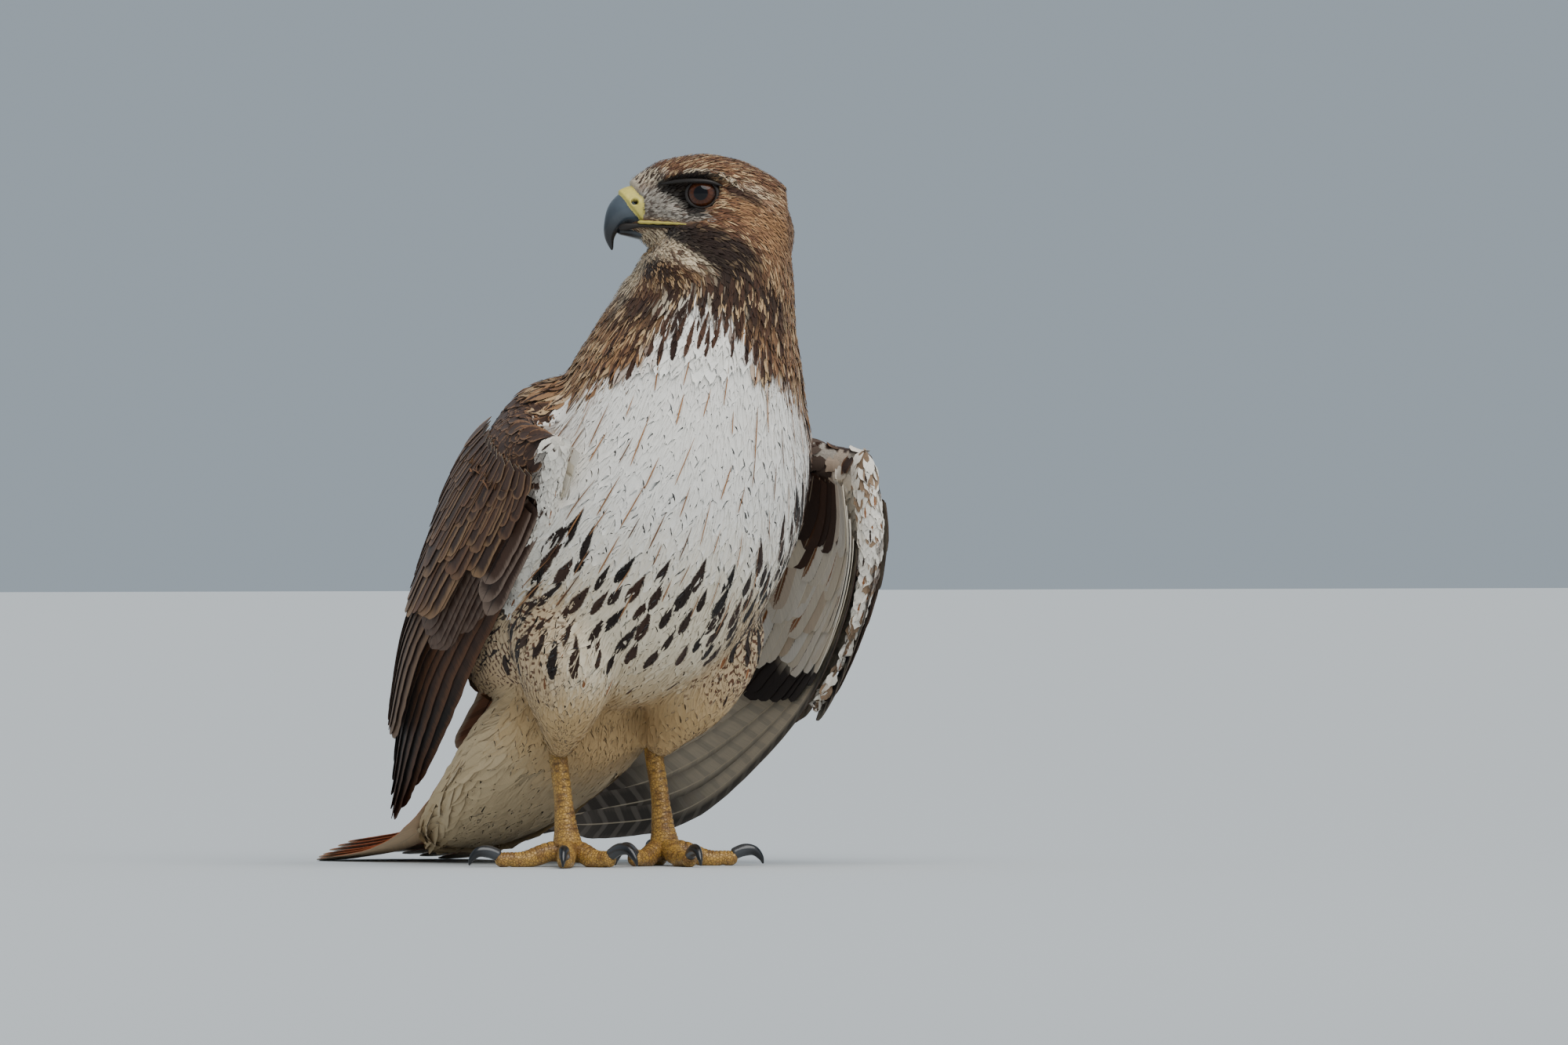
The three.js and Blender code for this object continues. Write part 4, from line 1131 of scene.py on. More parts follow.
FEW_ROWS = np.array([0, 0.4, 0.75, 1.0])
ROWS_TO_TIP = np.array([0, 0.3, 0.52, 0.7, 0.84, 0.94, 1.0])


def lay(p, n, way, length, width, t, cols, lift, ragged, tip=0.5, cup=0.035, root=0.45):
    """Feathers laid over the skin from their roots: grids of points, and each point's place on its vane."""
    count, rows = len(p), len(t)
    s = np.linspace(-1, 1, cols)
    ragged = np.broadcast_to(ragged, count)[:, None]
    shape = (
        np.minimum(1, root + (1 - root) * t / 0.35)
        * np.sqrt(np.clip(1 - (np.clip(t - tip, 0, 1) / (1.02 - tip)) ** 2, 0.02, 1))
    )
    grid = np.empty((count, rows, cols, 3))
    here, up = p.copy(), n.copy()
    for i in range(rows):
        across = unit(np.cross(up, way))
        high = lift[:, 0] + (lift[:, 1] - lift[:, 0]) * t[i]
        half = width / 2 * shape[i]
        rough = 1 + ragged * rng.normal(size=(count, cols)) * (0.35 + 0.65 * t[i])
        slip = ragged * length[:, None] * rng.normal(size=(count, cols)) * (t[i] > 0.7) * 0.7
        slip = slip - length[:, None] * 0.16 * (s**2)[None] * (t[i] ** 2)
        grid[:, i] = (
            here[:, None]
            + across[:, None] * (half[:, None] * s * rough)[..., None]
            + up[:, None] * (high[:, None] - cup * half[:, None] * s**2)[..., None]
            + way[:, None] * slip[..., None]
        )
        if i + 1 < rows:
            ahead = here + way * (length * (t[i + 1] - t[i]))[:, None]
            here, new_up = onto_skin(ahead)
            up = unit(up * 0.35 + new_up * 0.65)
            way = unit(way - up * dot(way, up)[:, None])
    seed = rng.random(count)
    return grid, np.stack(np.broadcast_arrays(s[None, None, :], t[None, :, None], seed[:, None, None]), -1)


def patch(bake, vane):
    """A small patch of the bake map at each feather's root."""
    return bake[:, None, None, :] + BAKE_PATCH * np.stack([vane[..., 0] / 2, vane[..., 1] - 0.5], -1)


def sizes(p, r):
    """Spacing, length and width of a feather at each place, in millimetres."""
    q = r["head_at"]
    face = r["head"] * step(2, 26, q[:, 0])
    spacing = np.full(len(p), 5.0)
    length = np.full(len(p), 30.0)
    width = np.full(len(p), 14.0)

    def set_to(weight, a, b, c):
        nonlocal spacing, length, width
        spacing, length, width = mix(spacing, a, weight), mix(length, b, weight), mix(width, c, weight)

    set_to(step(0.78, 0.5, r["bib"]) * step(172, 150, p[:, 2]), 7.6, 34, 18)
    set_to(step(0.1, -0.25, r["front"]), 7.6, 36, 20)
    set_to(step(225, 255, p[:, 2]), 4.0, 19, 8)
    set_to(step(255, 292, p[:, 2]), 2.7, 13.5, 4.4)
    set_to(r["head"], 1.8, 8.6, 2.6)
    set_to(face, 1.25, 4.2, 1.4)
    set_to(r["vent"], 6, 42, 17)
    set_to(r["thigh"], 4.0, 22, 10)
    set_to(r["thigh"] * step(84, 62, p[:, 2]), 2.6, 13, 5)
    set_to(step(0.3, 0.7, r["arm"]), 4.4, 15, 10)
    set_to(step(0.3, 0.7, r["arm"]) * step(0.12, 0.07, r["arm_uv"][:, 1]), 3.0, 10, 6)
    return spacing, length, width


def near_eye(q, margin):
    out = np.zeros(len(q), bool)
    for s in (1, -1):
        _, along, off = from_eye(q, s)
        out |= (off < EYE_OPENING + margin) & (along > -2)
    return out


def bare(p):
    """Where no feather is rooted: eyes, bill, mouth line and feet."""
    q = bird_to_head(p)
    no = near_eye(q, 0.4) | in_cere(q)
    no |= (np.abs(q[:, 2] + 5.6) < 1.3) & (q[:, 0] > 12) & (np.abs(q[:, 1]) > 5)
    return no | ((p[:, 2] < 56) & (p[:, 1] < 40) & (np.abs(p[:, 0]) > 20))


def body_coat(drops):
    p, n = scatter(lambda p: sizes(p, regions(p))[0], TRIES["coat"], keep=lambda p: ~bare(p))
    r = regions(p)
    _, length, width = sizes(p, r)
    chance, other = rng.random((2, len(p)))
    length = length * rng.uniform(0.88, 1.12, len(p))
    width = width * rng.uniform(0.88, 1.12, len(p))
    on_arm = r["arm"] > 0.5
    white = (r["bib"] > 0.1) & (p[:, 2] < WHITE_TOP) & ~on_arm
    way = combed(p, n, r, 0.1)
    lift = mix(0.9, 2.0, step(6, 24, length)) * np.where(white, 0.42, 1.0) * np.where(on_arm, 0.7, 1.0)
    lift = np.stack([np.full(len(p), -0.3), lift * rng.uniform(0.85, 1.15, len(p))], -1)
    ragged = np.where(white, 0.03, 0.05)
    colours = list(body_colours(p, r, chance, other))
    for mine, arm in zip(colours, arm_colours(p, r, chance, other)):
        mine[on_arm] = arm[on_arm]
    base, mark, edge, shaft, streak, bars, fringe = colours
    h_base, h_mark, h_streak = head_colours(r["head_at"], chance)
    h_base = h_base * 1.12
    weight = r["head"] * (1 - on_arm)
    base, mark = blend(base, h_base, weight), blend(mark, h_mark, weight)
    streak = mix(streak, h_streak, weight)
    fringe, bars = fringe * (1 - weight), bars * (1 - weight)
    base = base * (1 + rng.uniform(-1, 1, (len(p), 1)) * np.where(white, 0.025, 0.09)[:, None])
    bake = unwrap(r)
    pattern = np.stack([streak, bars, fringe], -1)
    dims = np.stack([width / 2, length, np.full(len(p), 6.0)], -1)
    near_at, near = drops.nearest_to(onto_skin(p + way * (length * 0.75)[:, None])[0])
    near = near * (r["head"] < 0.5) * ~on_arm
    ink = drops.colour[near_at]
    groups = {
        "head_coat": (r["head"] > 0.5, "feather_brown"),
        "wing_left_small_coverts": (on_arm & (p[:, 0] > 0), "feather_brown"),
        "wing_right_small_coverts": (on_arm & (p[:, 0] < 0), "feather_brown"),
        "thigh_coat": ((r["thigh"] > 0.5) | (r["vent"] > 0.5), "feather_buff"),
        "neck_coat": ((p[:, 2] > 236) & ~white, "feather_brown"),
        "back_coat": (r["front"] < -0.05, "feather_brown"),
        "breast_coat": (np.ones(len(p), bool), "feather_white"),
    }
    left = np.ones(len(p), bool)
    for name, (chosen, slot) in groups.items():
        mine = np.flatnonzero(chosen & left)
        left &= ~chosen
        small = length[mine] < SHORT_FEATHER
        coat = Coat(name, COAT_MATERIAL[slot], slot)
        for pick, t, cols in ((mine[small], FEW_ROWS, 3), (mine[~small], ROWS_TO_TIP, 6)):
            if len(pick) == 0:
                continue
            grid, vane = lay(
                p[pick], n[pick], way[pick], length[pick], width[pick], t, cols, lift[pick], ragged[pick],
            )
            local = drops.local(grid, near_at[pick], near[pick])
            coat.add(
                grid, vane, dims[pick], base[pick], mark[pick], edge[pick], shaft[pick], pattern[pick],
                patch(bake[pick], vane), local, ink[pick],
            )
        coat.build()


def wisps(drops):
    """Fine loose barbs over the soft parts of the coat."""

    def spacing(p):
        r = regions(p)
        gap = np.full(len(p), 2.1)
        gap = mix(gap, 1.45, r["head"])
        gap = gap + 2.5 * step(0.78, 0.5, r["bib"]) * step(168, 140, p[:, 2]) * step(76, 96, p[:, 2])
        gap = np.where((r["front"] < -0.1) & (p[:, 2] < 250), 0, gap)
        return np.where(r["arm"] > 0.3, 0, gap)

    p, n = scatter(spacing, TRIES["wisps"], keep=lambda p: ~bare(p))
    r = regions(p)
    _, length, _ = sizes(p, r)
    chance, other = rng.random((2, len(p)))
    length = np.clip(length * 0.75, 3.2, 20) * rng.uniform(0.7, 1.2, len(p))
    width = np.clip(length * 0.07, 0.6, 1.1)
    white = (r["bib"] > 0.1) & (p[:, 2] < WHITE_TOP)
    way = combed(p, n, r, 0.13)
    high = mix(1.2, 2.3, step(5, 20, length)) * np.where(white, 0.48, 1.0)
    lift = np.stack([np.full(len(p), 0.3), high * rng.uniform(0.8, 1.2, len(p))], -1)
    base, mark, edge, _, _, bars, _ = body_colours(p, r, chance, other)
    base = blend(base, head_colours(r["head_at"], chance)[0], r["head"])
    base = blend(base, mark, (bars > 0.4) * (chance < 0.15) * 0.7)
    base = base * (1 + rng.uniform(-1, 1, (len(p), 1)) * np.where(white, 0.03, 0.1)[:, None])
    bake = unwrap(r)
    near_at, near = drops.nearest_to(onto_skin(p + way * (length * 0.5)[:, None])[0])
    near = near * (r["head"] < 0.5)
    grid, vane = lay(p, n, way, length, width, FEW_ROWS, 2, lift, 0.06, tip=0.2, cup=0, root=0.6)
    local = drops.local(grid, near_at, near)
    ink = drops.colour[near_at]
    zero = np.zeros((len(p), 3))
    dims = np.stack([width / 2, length, np.full(len(p), 9.0)], -1)
    for name, chosen, slot in (
        ("head_wisps", p[:, 2] > 290, "feather_brown"),
        ("breast_wisps", (p[:, 2] <= 290) & (p[:, 2] > 130), "feather_white"),
        ("belly_wisps", p[:, 2] <= 130, "feather_buff"),
    ):
        k = np.flatnonzero(chosen)
        coat = Coat(name, COAT_MATERIAL[slot], slot)
        coat.add(
            grid[k], vane[k], dims[k], base[k], mark[k], edge[k], base[k], zero[k], patch(bake[k], vane[k]),
            local[k], ink[k],
        )
        coat.build()


def shaft_lines():
    """Hair-fine dark shafts that show on the white front."""

    def spacing(p):
        r = regions(p)
        here = (
            (p[:, 2] > 140) & (p[:, 2] < WHITE_TOP) & (r["bib"] > 0.12) & (r["arm"] < 0.3)
            & (r["front"] > -0.05)
        )
        return np.where(here, mix(9.0, 13.0, step(0.3, 0.8, r["bib"])), 0)

    p, n = scatter(spacing, TRIES["shafts"])
    r = regions(p)
    count = len(p)
    length, width = rng.uniform(13, 34, count), rng.uniform(0.45, 0.8, count)
    way = combed(p, n, r, 0.07)
    lift = np.stack([np.full(count, 1.35), np.full(count, 1.75)], -1)
    grid, vane = lay(p, n, way, length, width, ROWS_TO_TIP, 2, lift, 0.0, tip=0.6, cup=0, root=0.25)
    tone = blend(np.tile(mix(RUFOUS, TAWNY, 0.4), (count, 1)), BROWN, rng.random(count) ** 1.5)
    coat = Coat("breast_shaft_lines", PALE_FEATHER, "feather_brown")
    dims = np.stack([width / 2, length, np.full(count, 9.0)], -1)
    coat.add(grid, vane, dims, tone, tone, tone, tone, np.zeros((count, 3)), patch(unwrap(r), vane))
    coat.build()


# Stiff feathers of the wings and tail


def along_places(places, t):
    places = np.array(places, float)
    at = min(len(places) - 1.0001, t * (len(places) - 1))
    i = int(at)
    return mix(places[i], places[i + 1], at - i)


VANE_THICK = 0.3


def stiff_vane(surface, root, tip, width, level, roll, rows, cols, narrow, point):
    """A feather with a round tip over a surface: top and under grids, places on the vane, and its length."""
    t = 1 - (1 - np.linspace(0, 1, rows)) ** 1.25
    s = np.linspace(-1, 1, cols)
    u, v = mix(root[0], tip[0], t), mix(root[1], tip[1], t)
    here, normal = surface.point(u, v), surface.normal(u, v)
    ahead = unit(np.gradient(here, axis=0))
    length = np.linalg.norm(np.diff(here, axis=0), axis=1).sum()
    over = surface.point(u, v + 0.05) - surface.point(u, v - 0.05)
    across = unit(np.cross(normal, ahead))
    across *= np.sign(dot(across, over))[:, None]
    bend = dot(
        surface.normal(u, v + 0.08) - surface.normal(u, v - 0.08),
        surface.point(u, v + 0.08) - surface.point(u, v - 0.08),
    )
    bend = np.clip(
        bend
        / np.maximum(
            60, (np.linalg.norm(surface.point(u, v + 0.08) - surface.point(u, v - 0.08), axis=1) ** 2),
        ),
        0, 0.03,
    )
    start = 1 - min(0.5, point * width / length)
    taper = np.sqrt(np.clip(1 - (np.clip(t - start, 0, 1) / (1.0005 - start)) ** 2, 0.0, 1)) * 0.98 + 0.02
    half = width / 2 * taper * np.minimum(1, narrow + (1 - narrow) * t / 0.4)
    rough = 1 + 0.02 * rng.normal(size=(rows, cols)) * (np.abs(s) > 0.7)
    side = half[:, None] * s * rough
    sweep = -0.25 * half[:, None] * (s**2) * (t[:, None] > 0.5)
    grid = (
        here[:, None]
        + across[:, None] * side[..., None]
        + normal[:, None] * (level - roll * side - bend[:, None] * side**2 / 2)[..., None]
        + ahead[:, None] * (sweep * 0.4)[..., None]
    )
    top, under = grid + normal[:, None] * VANE_THICK / 2, grid - normal[:, None] * VANE_THICK / 2
    place = np.stack(np.broadcast_arrays(s[None, :], t[:, None], rng.random()), -1)
    return top, under, place, length


Look = namedtuple("Look", "base mark edge shaft bars fringe streak period", defaults=(0, 0, 0, 14.0))


def round_rim(a):
    """The values along the rim of a grid."""
    return np.concatenate([a[:, 0], a[-1, 1:], a[-2::-1, -1]])


def add_stiff(coat, vane, width, looks, index, total):
    """Adds a stiff feather: top and under face with colours of their own, and the thin rim between them."""
    top, under, place, length = vane
    strips = math.ceil(math.sqrt(total * 2))
    rim = np.stack([round_rim(top), round_rim(under)], 1)
    bare_rim = looks[0]._replace(bars=0, fringe=0, streak=0, period=14.0)
    for grid, arrange, look, face in (
        (top, lambda a: a, looks[0], 0),
        (under[:, ::-1], lambda a: a[:, ::-1], looks[1], 1),
        (rim, lambda a: np.stack([round_rim(a)] * 2, 1), bare_rim, 1),
    ):
        cell = index * 2 + face
        corner = np.array([cell % strips, cell // strips]) / strips
        at = arrange(place)
        bake = corner + (0.08 + 0.84 * np.stack([(at[..., 0] + 1) / 2, at[..., 1]], -1)) / strips
        dims = np.array([[width / 2, length, look.period]])
        pattern = np.array([[look.streak, look.bars, look.fringe]])
        paint = [np.asarray(c) for c in look[:4]]
        paint = [arrange(c)[None] if c.ndim == 3 else c.reshape(1, 1, 1, 3) for c in paint]
        coat.add(grid[None], at[None], dims, *paint, pattern, bake[None])


def graded(place, stops):
    """A colour along the feather from (share, colour) stops."""
    t = place[..., 1]
    out = np.broadcast_to(stops[0][1], (*t.shape, 3)).copy()
    for (a, _), (b, colour) in zip(stops, stops[1:]):
        out = blend(out, colour, step(a, b, t))
    return out


def wing_looks(row, k, side, place, tip):
    """Colours of the upper and under face of a wing feather."""
    noise = rng.uniform(0.9, 1.1)
    dark = mix(BROWN, DARK, 0.55) * noise
    pale = mix(GREY, CREAM, 0.65)
    if row == "primaries":
        upper = graded(place, [(0, dark), (0.45, dark), (0.7, BLACK)])
        upper = Look(upper, BLACK, mix(RUFOUS, DARK, 0.3), BLACK, 0.3, 0.35, period=16)
        grey = graded(place, [(0, pale), (0.55, pale), (0.76, mix(BLACK, GREY, 0.12))])
        if k < 4:
            grey = blend(grey, mix(BLACK, GREY, 0.1), step(-0.1, -0.4, place[..., 0]) * 0.95)
        under = Look(grey, mix(GREY, DARK, 0.3), mix(GREY, DARK, 0.6), CREAM, 0.35, 0.3, period=13)
    elif row == "secondaries":
        upper = Look(dark, BLACK, mix(TAWNY, WARM, 0.4), BLACK, 0.4, 0.5, period=14)
        under = graded(place, [(0, pale), (0.82, pale), (0.94, mix(GREY, DARK, 0.5))])
        under = Look(under, mix(GREY, DARK, 0.35), CREAM, CREAM, 0.45, 0.5, period=11)
    elif row.startswith("under"):
        white = mix(WHITE, CREAM, rng.uniform(0.1, 0.8))
        rusty = side == "left" and 0.28 < tip[1] < 0.6 and rng.random() < 0.4
        white = mix(white, mix(RUFOUS, BUFF, 0.6), 0.4 * rusty)
        if side == "left" and tip[1] > 0.37 and tip[0] < 0.25:
            white = mix(DARK, BROWN, rng.uniform(0, 0.6))
        streak = 0.24 if rng.random() < 0.5 else 0.0
        under = Look(white, mix(DARK, RUFOUS, rng.random()), white, CREAM, fringe=0.1, streak=streak)
        if row == "underPrimaryCoverts":
            end = graded(place, [(0, white), (0.66, white), (0.78, mix(DARK, BLACK, 0.5))])
            under = Look(end, DARK, GREY, CREAM)
        upper = under
    else:
        base = mix(BROWN, DARK, rng.uniform(0.2, 0.8)) * noise
        rim = mix(WARM, TAWNY, rng.uniform(0.1, 0.9)) if row != "alula" else mix(GREY, WARM, 0.6)
        upper = Look(
            base, DARK, rim, DARK, 0.3 if row == "greaterCoverts" else 0.0, rng.uniform(0.35, 0.75), 0.15, 11
        )
        if row == "primaryCoverts":
            upper = Look(
                mix(DARK, BROWN, 0.3), mix(GREY, BROWN, 0.5), mix(WARM, GREY, 0.3), DARK, 0.1, 0.3, period=9
            )
        under = Look(pale, DARK, CREAM, CREAM, 0.3)
        if row == "alula":
            under = Look(mix(DARK, BLACK, 0.4), pale, GREY, DARK, 0.4, 0.5, period=9)
    return upper, under


# A row's number of feathers, its first and last roots, their levels over the surface and their widths,
# the rows and columns of a vane, how long its round end is, where the tips are, its roll and its narrow root
Row = namedtuple("Row", "count root level width rows cols point tips roll narrow", defaults=(0.0, 0.75))
ROWS = {
    "primaries": Row(
        10, [(0.155, 0.03), (0.155, 0.36)], (-8.6, -1.4), (17, 22), 44, 9, 1.5,
        [
            (0.9, 0.08), (0.96, 0.26), (0.995, 0.45), (0.99, 0.6), (0.96, 0.7), (0.92, 0.77), (0.88, 0.82),
            (0.84, 0.86), (0.8, 0.89), (0.76, 0.91),
        ],
        narrow=0.62,
    ),
    "secondaries": Row(
        12, [(0.15, 0.34), (0.15, 0.99)], (0.6, 2.2), (25, 27), 34, 9, 0.8,
        [(0.72, 0.5), (0.725, 0.72), (0.69, 0.9), (0.58, 1.0)], 0.12,
    ),
    "primaryCoverts": Row(
        9, [(0.13, 0.06), (0.13, 0.32)], (-2.6, 3.6), (11, 13), 20, 7, 0.8,
        [(0.43, 0.08), (0.48, 0.18), (0.46, 0.32)],
    ),
    "greaterCoverts": Row(
        13, [(0.12, 0.24), (0.12, 0.97)], (4.8, 5.4), (18, 21), 20, 7, 0.7,
        [(0.42, 0.3), (0.45, 0.6), (0.41, 0.97)], 0.1,
    ),
    "medianCoverts": Row(
        14, [(0.13, 0.17), (0.13, 0.96)], (6.1, 6.5), (15, 19), 14, 7, 0.6,
        [(0.32, 0.14), (0.35, 0.55), (0.31, 0.97)], 0.1,
    ),
    "lesserCoverts4": Row(
        15, [(0.13, 0.15), (0.13, 0.95)], (6.5, 6.8), (12, 16), 12, 7, 0.6,
        [(0.27, 0.12), (0.3, 0.5), (0.27, 0.96)], 0.1,
    ),
    "lesserCoverts3": Row(
        16, [(0.12, 0.14), (0.12, 0.95)], (6.8, 7.0), (11, 15), 12, 7, 0.6,
        [(0.23, 0.11), (0.255, 0.5), (0.23, 0.96)], 0.1,
    ),
    "lesserCoverts2": Row(
        17, [(0.11, 0.12), (0.11, 0.94)], (7.1, 7.3), (10, 14), 12, 7, 0.6,
        [(0.19, 0.09), (0.21, 0.5), (0.19, 0.95)], 0.1,
    ),
    "lesserCoverts1": Row(
        17, [(0.09, 0.12), (0.09, 0.94)], (7.4, 7.6), (10, 13), 12, 7, 0.6,
        [(0.15, 0.09), (0.165, 0.5), (0.15, 0.95)], 0.1,
    ),
    "alula": Row(
        3, [(0.16, 0.0), (0.17, 0.07)], (1.0, 4.0), (12, 13), 20, 7, 1.2,
        [(0.385, 0.01), (0.37, 0.04), (0.34, 0.07)],
    ),
    "underPrimaryCoverts": Row(
        9, [(0.13, 0.04), (0.13, 0.5)], (-10.4, -10.4), (16, 18), 24, 7, 0.7,
        [(0.37, 0.08), (0.44, 0.24), (0.5, 0.38), (0.5, 0.52)], -0.1,
    ),
    "underGreaterCoverts": Row(
        7, [(0.12, 0.54), (0.12, 0.93)], (-10.4, -10.4), (18, 19), 18, 7, 0.7,
        [(0.46, 0.58), (0.42, 0.76), (0.38, 0.94)], -0.1,
    ),
    "underMedianCoverts": Row(
        15, [(0.1, 0.05), (0.1, 0.93)], (-11.6, -11.6), (16, 18), 18, 7, 0.6,
        [(0.33, 0.05), (0.4, 0.3), (0.42, 0.5), (0.32, 0.94)], -0.1,
    ),
    "underLesserCoverts3": Row(
        16, [(0.1, 0.05), (0.1, 0.93)], (-12.4, -12.4), (14, 16), 14, 7, 0.6,
        [(0.28, 0.05), (0.33, 0.35), (0.33, 0.5), (0.27, 0.94)], -0.1,
    ),
    "underLesserCoverts2": Row(
        17, [(0.08, 0.05), (0.08, 0.93)], (-13.0, -13.0), (13, 15), 12, 7, 0.6,
        [(0.23, 0.05), (0.26, 0.5), (0.22, 0.94)], -0.1,
    ),
    "underLesserCoverts1": Row(
        17, [(0.05, 0.05), (0.05, 0.93)], (-13.5, -13.5), (12, 14), 12, 7, 0.6,
        [(0.17, 0.04), (0.19, 0.5), (0.17, 0.94)], -0.1,
    ),
}


def wing_feathers(name):
    surface = wing[name]
    groups = {"primaries": ["primaries"], "secondaries": ["secondaries"]}
    groups["arm"] = [row for row in ROWS if row not in ("primaries", "secondaries")]
    for group, rows in groups.items():
        coat = Coat(
            f"wing_{name}_{group}_feathers", STIFF_FEATHER,
            "feather_brown" if group == "arm" else "feather_dark",
        )
        total, index = sum(ROWS[row].count for row in rows), 0
        for row in rows:
            spec = ROWS[row]
            for k in range(spec.count):
                t = k / (spec.count - 1)
                jitter = group == "arm"
                tip = along_places(spec.tips, t) + rng.normal(0, 1, 2) * (0.011, 0.008) * jitter
                width = mix(*spec.width, t) * rng.uniform(0.97 - 0.1 * jitter, 1.03 + 0.1 * jitter)
                level = mix(*spec.level, t) + rng.uniform(-0.15, 0.15) * (1 + jitter)
                vane = stiff_vane(
                    surface, along_places(spec.root, t), tip, width, level, spec.roll, spec.rows, spec.cols,
                    spec.narrow, spec.point,
                )
                add_stiff(coat, vane, width, wing_looks(row, k, name, vane[2], tip), index, total)
                index += 1
        item = coat.build()
        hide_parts(f"wing_{name}_{group}")


# Levels of the tail feathers below the tail's surface, from the middle out, on the bird's right and left
TAIL_LEVELS = {-1: [0, -1.9, -3.8, -5.7, -6.65, -7.6], 1: [-0.95, -2.85, -4.75, -5.7, -6.65, -7.6]}
TAIL_LIFT = 0.15  # keeps the lowest of them off the floor
# Rows of coverts over the tail's root: start, end, level and number
TAIL_COVERTS = ((0.02, 0.34, 2.2, 9), (0, 0.24, 3.6, 9), (0, 0.15, 4.8, 8))
TAIL_COVERT_WIDTH = 19
TAIL_PLACES = 60  # on the bake map


def tail_looks(place):
    """Rufous above and pale below, with a dark band before the pale tip."""
    t, s = place[..., 1], np.abs(place[..., 0])
    shade = rng.uniform(0.92, 1.08)
    band = step(0.885, 0.9, t) * step(0.935, 0.92, t)
    tip = step(0.955, 0.975, t)
    upper = graded(place, [(0, RED_TAIL * shade), (0.86, RED_TAIL * shade), (0.9, RED_TAIL)])
    upper = blend(blend(upper, BLACK, band * 0.85), CREAM, tip)
    under = np.broadcast_to(mix(PALE_TAIL, CREAM, 0.35) * shade, upper.shape)
    under = blend(under, RUFOUS, step(0.5, 1.0, s) * 0.35)
    under = blend(blend(under, mix(BROWN, GREY, 0.3), band * 0.45), WHITE, tip)
    upper = Look(upper, DARK, BUFF, mix(BROWN, RUFOUS, 0.5), fringe=0.25)
    return upper, Look(under, DARK, CREAM, CREAM, fringe=0.2)


def tail_feathers():
    coat = Coat("tail_feathers", STIFF_FEATHER, "feather_rufous")
    index = 0
    for side, levels in TAIL_LEVELS.items():
        for k, level in enumerate(levels):
            root = (0.01, 0.5 + side * (0.05 + 0.055 * k))
            tip = (1 - 0.004 * k * k, 0.5 + side * (0.035 + 0.082 * k))
            vane = stiff_vane(
                tail_surface, root, tip, 25.5 - 0.6 * k, level + TAIL_LIFT, 0.0, 46, 11, 0.55, 0.55
            )
            add_stiff(coat, vane, 25, tail_looks(vane[2]), index, TAIL_PLACES)
            index += 1
    for row, (start, end, level, count) in enumerate(TAIL_COVERTS):
        for k in range(count):
            v = mix(0.12, 0.88, k / (count - 1))
            tip = (end + rng.normal(0, 0.01), mix(v, 0.5, 0.1))
            vane = stiff_vane(tail_surface, (start, v), tip, TAIL_COVERT_WIDTH, level, 0.0, 16, 7, 0.8, 0.6)
            base = mix(mix(RED_TAIL, CREAM, 0.25), BROWN, 0.25 * row) * rng.uniform(0.9, 1.1)
            look = Look(base, BROWN, CREAM, BROWN, 0.35, 0.8, period=12)
            add_stiff(coat, vane, TAIL_COVERT_WIDTH, (look, look), index, TAIL_PLACES)
            index += 1
    item = coat.build()
    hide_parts("tail")


# Bare parts


def paint(item, name, values):
    """A float for each point, as a colour attribute."""
    layer = item.data.attributes.new(name, "FLOAT_COLOR", "POINT")
    values = np.asarray(values, float)
    if values.ndim == 1:
        values = np.repeat(values[:, None], 3, 1)
    layer.data.foreach_set("color", np.hstack([values, np.ones((len(values), 1))]).astype(np.float32).ravel())


def bare_part(name, verts, faces, material, replaces=(), tip_tone_and_hollow_shade=None):
    item = add_mesh(name, verts, faces)
    if len(item.data.vertices) == len(verts):
        paint(item, "tip_tone_and_hollow_shade", np.zeros(len(verts)) if tip_tone_and_hollow_shade is None else tip_tone_and_hollow_shade)
    item.data.materials.append(material)
    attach(item, "root")
    if replaces:
        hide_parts(*replaces)
    return item


def scutes(t, angle):
    """Wide plates down the front of the shank, as a wave."""
    return np.abs(np.sin(np.pi * t * 23 + 0.3 * np.sin(3 * angle)))


